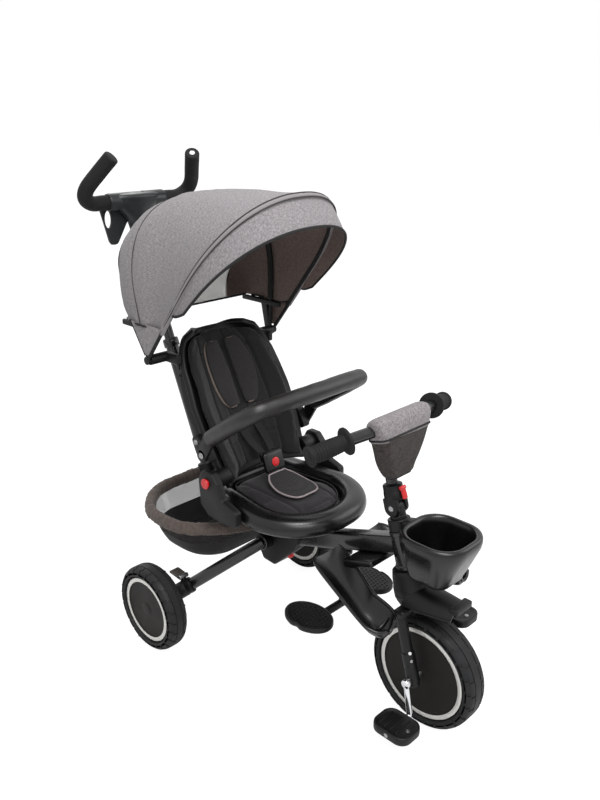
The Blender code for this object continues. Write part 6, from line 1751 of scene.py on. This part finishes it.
def make_ridge_strap():
    """Webbing from the hood's ridge, past both sides of the push tube and round behind it."""
    ridge = hood_arch(0, -24, 0.328, 0.18, 0.13, 0.1)
    tube_place = along_push(0.664)
    reach = Vector((0, 0.022, -0.003))
    corner = tube_place + reach
    centre = [ridge + Vector((-0.007, -0.008, 0.005)),
              ridge.lerp(corner, 0.45) + Vector((-0.015, 0, -0.004)),
              corner + Vector((-0.0156, -0.016, 0)), corner + Vector((-0.012, -0.001, 0)), corner]
    centre += [mirror + Vector((-2 * mirror.x, 0, 0)) for mirror in centre[-2::-1]]
    centre = eased(centre, 6)
    rows = [[p + Vector((0, 0, s * 0.01)) for s in (-1, -0.5, 0, 0.5, 1)] for p in centre]
    strap = laid("ridge_strap", rows, 0.0018, 0)
    settle(strap, "webbing", "backrest", angle=60)


def make_visor():
    """The stiff brim ahead of the front bow, with its black binding."""
    shares = hood_shares()
    rows = []
    for i in range(9):
        share = i / 8
        lean = BOW_LEAN + (VISOR_LEAN - BOW_LEAN) * share
        length = 0.442 + (0.427 - 0.442) * share
        start = 0.15 + 0.03 * share ** 2
        shift = 0.005 * (1 - share)
        rows.append([hood_arch(s, lean, length, HOOD_PIVOT.x, 0.215, start, shift) for s in shares])
    brim = laid("hood_brim", [row[::-1] for row in rows])
    thick_with_painted_shade(brim, 0.0024, -1)
    settle(brim, "hood_linen", "canopy_front", "canopy_visor", angle=80)
    edge = [row[0] for row in rows] + rows[-1][1:-1] + [row[-1] for row in rows[::-1]]
    settle(tube("brim_binding", edge, 0.0028, 10), "binding_tape", "canopy_front")


# Push handle head

def horn_path():
    half = [
        (0.06, 0.325, 0.957), (0.09, 0.325, 0.957), (0.12, 0.3215, 0.958), (0.142, 0.312, 0.972),
        (0.1455, 0.296, 0.995), (0.129, 0.27, 1.029), (0.11, 0.242, 1.064),
    ]
    right = [mirrored(point, -1) for point in half[::-1]]
    return [at(*p) for p in eased(right + half, 8)]


def make_push_head():
    """The moulded head: funnel, smooth oval lid, horn sockets, hook loop and foam horns."""
    table = eased([
        (-0.024, 0.0185, 0.0185, -0.004), (-0.012, 0.0195, 0.0195, 0), (0, 0.022, 0.022, 0.004),
        (0.022, 0.042, 0.027, 0.004), (0.04, 0.066, 0.03, 0.003), (0.05, 0.0705, 0.0308, 0.0025),
        (0.056, 0.071, 0.031, 0.002), (0.06, 0.069, 0.03, 0.0016), (0.0632, 0.064, 0.0272, 0.0012),
        (0.0652, 0.054, 0.0222, 0.001), (0.0663, 0.036, 0.0146, 0.001), (0.0667, 0.012, 0.0048, 0.001),
    ], 3)
    rings = []
    for height, half_x, half_y, shift in table:
        turns = [2 * pi * i / 64 for i in range(64)]
        middle, z = HORN_PLACE.y + shift, HORN_PLACE.z - 0.048 + height
        rings.append([at(half_x * cos(t), middle + half_y * sin(t), z) for t in turns])
    settle(lofted("handle_head", rings), "hub_abs", "push_handle", "push_hub", angle=50)
    for side, sign in SIDES:
        settle(spun("horn_socket" + side, [
            (0.0176, 0.02), (0.0202, 0.02), (0.0202, 0.074), (0.0196, 0.0765), (0.0188, 0.078),
            (0.0176, 0.078),
        ], at(0, HORN_PLACE.y, HORN_PLACE.z), (sign, 0, 0), 56, True), "hub_abs", "push_handle")
    grip = tube("horn_foam", horn_path(), HORN_RADIUS, 32)
    only(grip)
    bpy.ops.object.mode_set(mode="EDIT")
    bpy.ops.mesh.select_mode(type="FACE")
    pick(grip, "faces", lambda face: len(face.verts) > 8)
    bpy.ops.mesh.bevel(offset=0.004, segments=4, affect="EDGES")
    bpy.ops.object.mode_set(mode="OBJECT")
    settle(grip, "grip_foam", "push_handle", "push_grip", angle=60)
    tip, before = horn_path()[-1], horn_path()[-2]
    settle(spun("horn_plug_left", [
        (0, 0.0005), (0.0045, 0.0005), (0.0062, 0.0002), (0.007, -0.001), (0, -0.001),
    ], tip, tip - before, 32), "white_abs", "push_handle")
    make_hook_loop()


def make_hook_loop():
    """The flat ear under the head's right side, with a long hole for a bag's hook."""
    outline = softened([
        (-0.1, 0.006), (-0.02, 0.006), (-0.016, -0.04), (-0.052, -0.1), (-0.072, -0.1),
    ], 0.009)
    centre = Vector((-0.074, -0.04))
    count = 72
    outer, inner = [], []
    for i in range(count):
        turn = 2 * pi * i / count
        way = Vector((cos(turn), sin(turn)))
        reach = 0
        for a, b in zip(outline, outline[1:] + outline[:1]):
            span = b - a
            cross = way.x * span.y - way.y * span.x
            if abs(cross) < 1e-12:
                continue
            offset = a - centre
            distance = (offset.x * span.y - offset.y * span.x) / cross
            share = (offset.x * way.y - offset.y * way.x) / cross
            if distance > 0 and -1e-6 <= share <= 1 + 1e-6:
                reach = max(reach, distance)
        outer.append(centre + way * reach)
        inner.append(centre + Vector((0.009 * way.x, 0.02 * way.y)))
    y = HORN_PLACE.y + 0.01

    def ring(points, depth):
        return [at(p.x, y + depth, HORN_PLACE.z + p.y) for p in points]

    faces = [(outer, -0.003), (outer, 0.003), (inner, 0.003), (inner, -0.003)]
    loop = lofted("hook_ear", [ring(points, depth) for points, depth in faces], around=True)
    rimmed(loop, 0.001)
    settle(loop, "hub_abs", "push_handle")


# Stage

def make_stage():
    """A white floor that keeps the shadow, soft lamps, a white world and the camera."""
    look = bpy.context.scene.tricycle_sizes
    make_floor()
    world = bpy.data.worlds.new("white_room")
    bpy.context.scene.world = world
    world.use_nodes = True
    tree = world.node_tree
    background = tree.nodes["Background"]
    path = add_node(tree, "ShaderNodeLightPath")
    seen = path.outputs["Is Camera Ray"]
    for ray in ("Is Transmission Ray", "Is Glossy Ray"):
        either = {0: seen, 1: path.outputs[ray]}
        seen = add_node(tree, "ShaderNodeMath", {"operation": "MAXIMUM"}, either).outputs[0]
    strength = add_node(tree, "ShaderNodeMapRange", {"To Min": 0.5, "To Max": 1}, {"Value": seen})
    background.inputs["Color"].default_value = (1, 1, 1, 1)
    feed(tree, background, {"Strength": strength.outputs[0]})
    for name, place, power, size in (
        ("key_lamp", (-1.2, -1.9, 2.6), look.key_power, 1.6), ("fill_lamp", (1.9, -1.4, 1.8), 18, 1.8),
        ("back_lamp", (0.6, 2.2, 2.4), 22, 1.6), ("top_lamp", (-0.5, -0.7, 2.6), 30, 0.9),
    ):
        lamp = bpy.data.lights.new(name, "AREA")
        lamp.energy = power
        lamp.size = size
        thing = bpy.data.objects.new(name, lamp)
        thing.location = place
        thing.rotation_euler = (Vector((0, 0, 0.45)) - Vector(place)).to_track_quat("-Z", "Y").to_euler()
        bpy.context.scene.collection.objects.link(thing)
    make_camera()
    bpy.context.scene.view_settings.view_transform = "Standard"


def make_floor():
    """A wide white floor that glows a little to the camera, so that only shadows mark it."""
    deselect()
    bpy.ops.mesh.primitive_plane_add(size=60, location=(0, 0, 0))
    floor = named("studio_floor")
    bpy.ops.object.mode_set(mode="EDIT")
    bpy.ops.mesh.subdivide(number_cuts=3)
    bpy.ops.object.mode_set(mode="OBJECT")
    material = bpy.data.materials.new("white_paper")
    material.use_nodes = True
    tree = material.node_tree
    shader = tree.nodes["Principled BSDF"]
    shader.inputs["Roughness"].default_value = 0.9
    shader.inputs["Base Color"].default_value = linear("#f4f4f4")
    place = add_node(tree, "ShaderNodeTexCoord")
    where = {"Vector": place.outputs["Object"]}
    fibre = add_node(tree, "ShaderNodeTexNoise", {"Scale": per(3), "Detail": 3}, where)
    relief = {"Height": fibre.outputs["Fac"]}
    bump = add_node(tree, "ShaderNodeBump", {"Strength": 0.1, "Distance": 0.0002}, relief)
    feed(tree, shader, {"Normal": bump.outputs[0]})
    glow = add_node(tree, "ShaderNodeEmission", {"Color": (1, 1, 1, 1), "Strength": 1.28})
    path = add_node(tree, "ShaderNodeLightPath")
    share = add_node(
        tree, "ShaderNodeMath", {"operation": "MULTIPLY", 1: 0.72}, {0: path.outputs["Is Camera Ray"]},
    )
    mix = add_node(
        tree, "ShaderNodeMixShader", {}, {0: share.outputs[0], 1: shader.outputs["BSDF"], 2: glow.outputs[0]},
    )
    tree.links.new(mix.outputs[0], tree.nodes["Material Output"].inputs["Surface"])
    floor.data.materials.append(material)


def make_camera():
    """The photograph's viewpoint."""
    yaw, pitch, roll = radians(-45.64), radians(20.3), radians(0.31)
    back = Vector((sin(yaw) * cos(pitch), -cos(yaw) * cos(pitch), sin(pitch)))
    right = Vector((cos(yaw), sin(yaw), 0))
    up = back.cross(right)
    side = right * cos(roll) + up * sin(roll)
    top = up * cos(roll) - right * sin(roll)
    data = bpy.data.cameras.new("photo_camera")
    data.sensor_fit = "AUTO"
    data.sensor_width = 36
    data.lens = bpy.context.scene.tricycle_sizes.lens
    camera = bpy.data.objects.new("photo_camera", data)
    turn = Matrix((side, top, back)).transposed().to_4x4()
    camera.matrix_world = Matrix.Translation(at(-1.1205, -1.3206, 1.1746)) @ turn
    bpy.context.scene.collection.objects.link(camera)
    bpy.context.scene.camera = camera


# Add-on

def colour_setting(name, description, code):
    return StringProperty(name=name, description=description, default=code)


class TricycleColours(bpy.types.PropertyGroup):
    """Colours of the finishes, as sRGB hex values."""

    enamel: colour_setting("Tube enamel", "Colour of the painted tubes", "#060607")
    satin: colour_setting("Satin plastic", "Colour of the grained plastic", "#080809")
    gloss: colour_setting("Gloss plastic", "Colour of the seat shell and calf rests", "#060607")
    foam: colour_setting("Tyre foam", "Colour of the tyres", "#0e0f10")
    disc: colour_setting("Wheel disc", "Colour of the wheel discs", "#151311")
    red: colour_setting("Red plastic", "Colour of the release buttons", "#d01c22")
    hub: colour_setting("Handle head", "Colour of the push handle's head", "#191b1c")
    grip: colour_setting("Grip foam", "Colour of the hand grips", "#0c0c0d")
    hood: colour_setting("Hood cloth", "Light yarn of the hood", "#969294")
    # Colour of the hood's inside: the cloth darkened to a taupe that paints the shade there.
    lining: colour_setting("Hood lining", "Light yarn of the lining", "#7c6c66")
    pad: colour_setting("Back pad", "Light yarn of the back pad", "#0d0c0c")
    seat: colour_setting("Seat pad", "Light yarn of the seat pad", "#1e1a1e")
    rim: colour_setting("Basket sleeve", "Light yarn of the basket's sleeve", "#5a4f49")
    leather: colour_setting("Guard cover", "Dark tone of the guard bar's cover", "#0f0e0d")


class TricycleSizes(bpy.types.PropertyGroup):
    """Sizes and levels that the scene uses."""

    lens: FloatProperty(
        name="Lens", description="Focal length in millimetres", default=36.12, min=10, unit="CAMERA",
    )
    key_power: FloatProperty(
        name="Key lamp", description="Power of the key lamp", default=40, min=0, unit="POWER",
    )


def piece_operator(label, identifier, text, *makers):
    """Describe an operator that makes one group of pieces."""

    def execute(self, context):
        for make in makers:
            make()
        return {"FINISHED"}

    return type("TRICYCLE_OT_" + identifier, (bpy.types.Operator,), {
        "__doc__": text, "bl_idname": "tricycle." + identifier, "bl_label": label, "execute": execute,
        "bl_options": {"REGISTER", "UNDO"},
    })


OPERATORS = [
    piece_operator("Stage", "stage", "Floor, lamps, world and camera", make_stage),
    piece_operator("Frame", "frame", "Beam, hub, socket and push tubes",
                   make_beam, make_hub, make_push_socket_cover, make_push_tubes),
    piece_operator("Foot rest", "foot_rest", "Strut and textured pegs", make_foot_rest),
    piece_operator("Calf rests", "calf_rests", "Glossy troughs with toe stops", make_calf_rests),
    piece_operator("Basket", "basket", "Gathered sleeve and net bowl", make_basket),
    piece_operator("Rear frame", "rear_frame", "Legs, sleeves and brakes", make_rear_frame),
    piece_operator("Rear wheels", "rear_wheels", "Tyres, discs and rings", make_rear_wheels),
    piece_operator("Front wheel", "front_wheel", "Tyre, disc, crank and pedals",
                   make_front_wheel, make_drive),
    piece_operator("Steering", "steering", "Fork, column, fender and tray",
                   make_fork, make_column, make_fender, make_tray),
    piece_operator("Handlebar", "handlebar", "Bar, grips, knuckle and pouch", make_handlebar, make_pouch),
    piece_operator("Seat", "seat", "Shell, cushion, brackets and buckle", make_seat, make_seat_fittings),
    piece_operator("Backrest", "backrest", "Panel, liner, harness and pocket",
                   make_back_shell, make_back_pad, make_harness, make_pocket, make_back_fittings),
    piece_operator("Guard bar", "guard_bar", "Covered hoop and its eyes", make_guard),
    piece_operator("Hood", "hood", "Skin, bows, brim and bindings", make_hood, make_visor),
    piece_operator("Push handle", "push_handle", "Head and foam horns", make_push_head),
]


class TRICYCLE_PT_pieces(bpy.types.Panel):
    """Lists the operators that make the tricycle's pieces."""

    bl_label = "Tricycle"
    bl_idname = "TRICYCLE_PT_pieces"
    bl_space_type = "VIEW_3D"
    bl_region_type = "UI"
    bl_category = "Tricycle"

    def draw(self, context):
        for operator in OPERATORS:
            self.layout.operator(operator.bl_idname)
        for group in (context.scene.tricycle_colours, context.scene.tricycle_sizes):
            for key in group.bl_rna.properties.keys():
                if key not in ("rna_type", "name"):
                    self.layout.prop(group, key)


CLASSES = [TricycleColours, TricycleSizes, *OPERATORS, TRICYCLE_PT_pieces]


def register():
    for kind in CLASSES:
        bpy.utils.register_class(kind)
    bpy.types.Scene.tricycle_colours = PointerProperty(type=TricycleColours)
    bpy.types.Scene.tricycle_sizes = PointerProperty(type=TricycleSizes)


def unregister():
    del bpy.types.Scene.tricycle_sizes
    del bpy.types.Scene.tricycle_colours
    for kind in reversed(CLASSES):
        bpy.utils.unregister_class(kind)


def main():
    """Register the add-on, make every piece and write the boxes of the solids and the looks."""
    register()
    for operator in OPERATORS:
        group, name = operator.bl_idname.split(".")
        getattr(getattr(bpy.ops, group), name)()


if __name__ == "__main__":
    main()
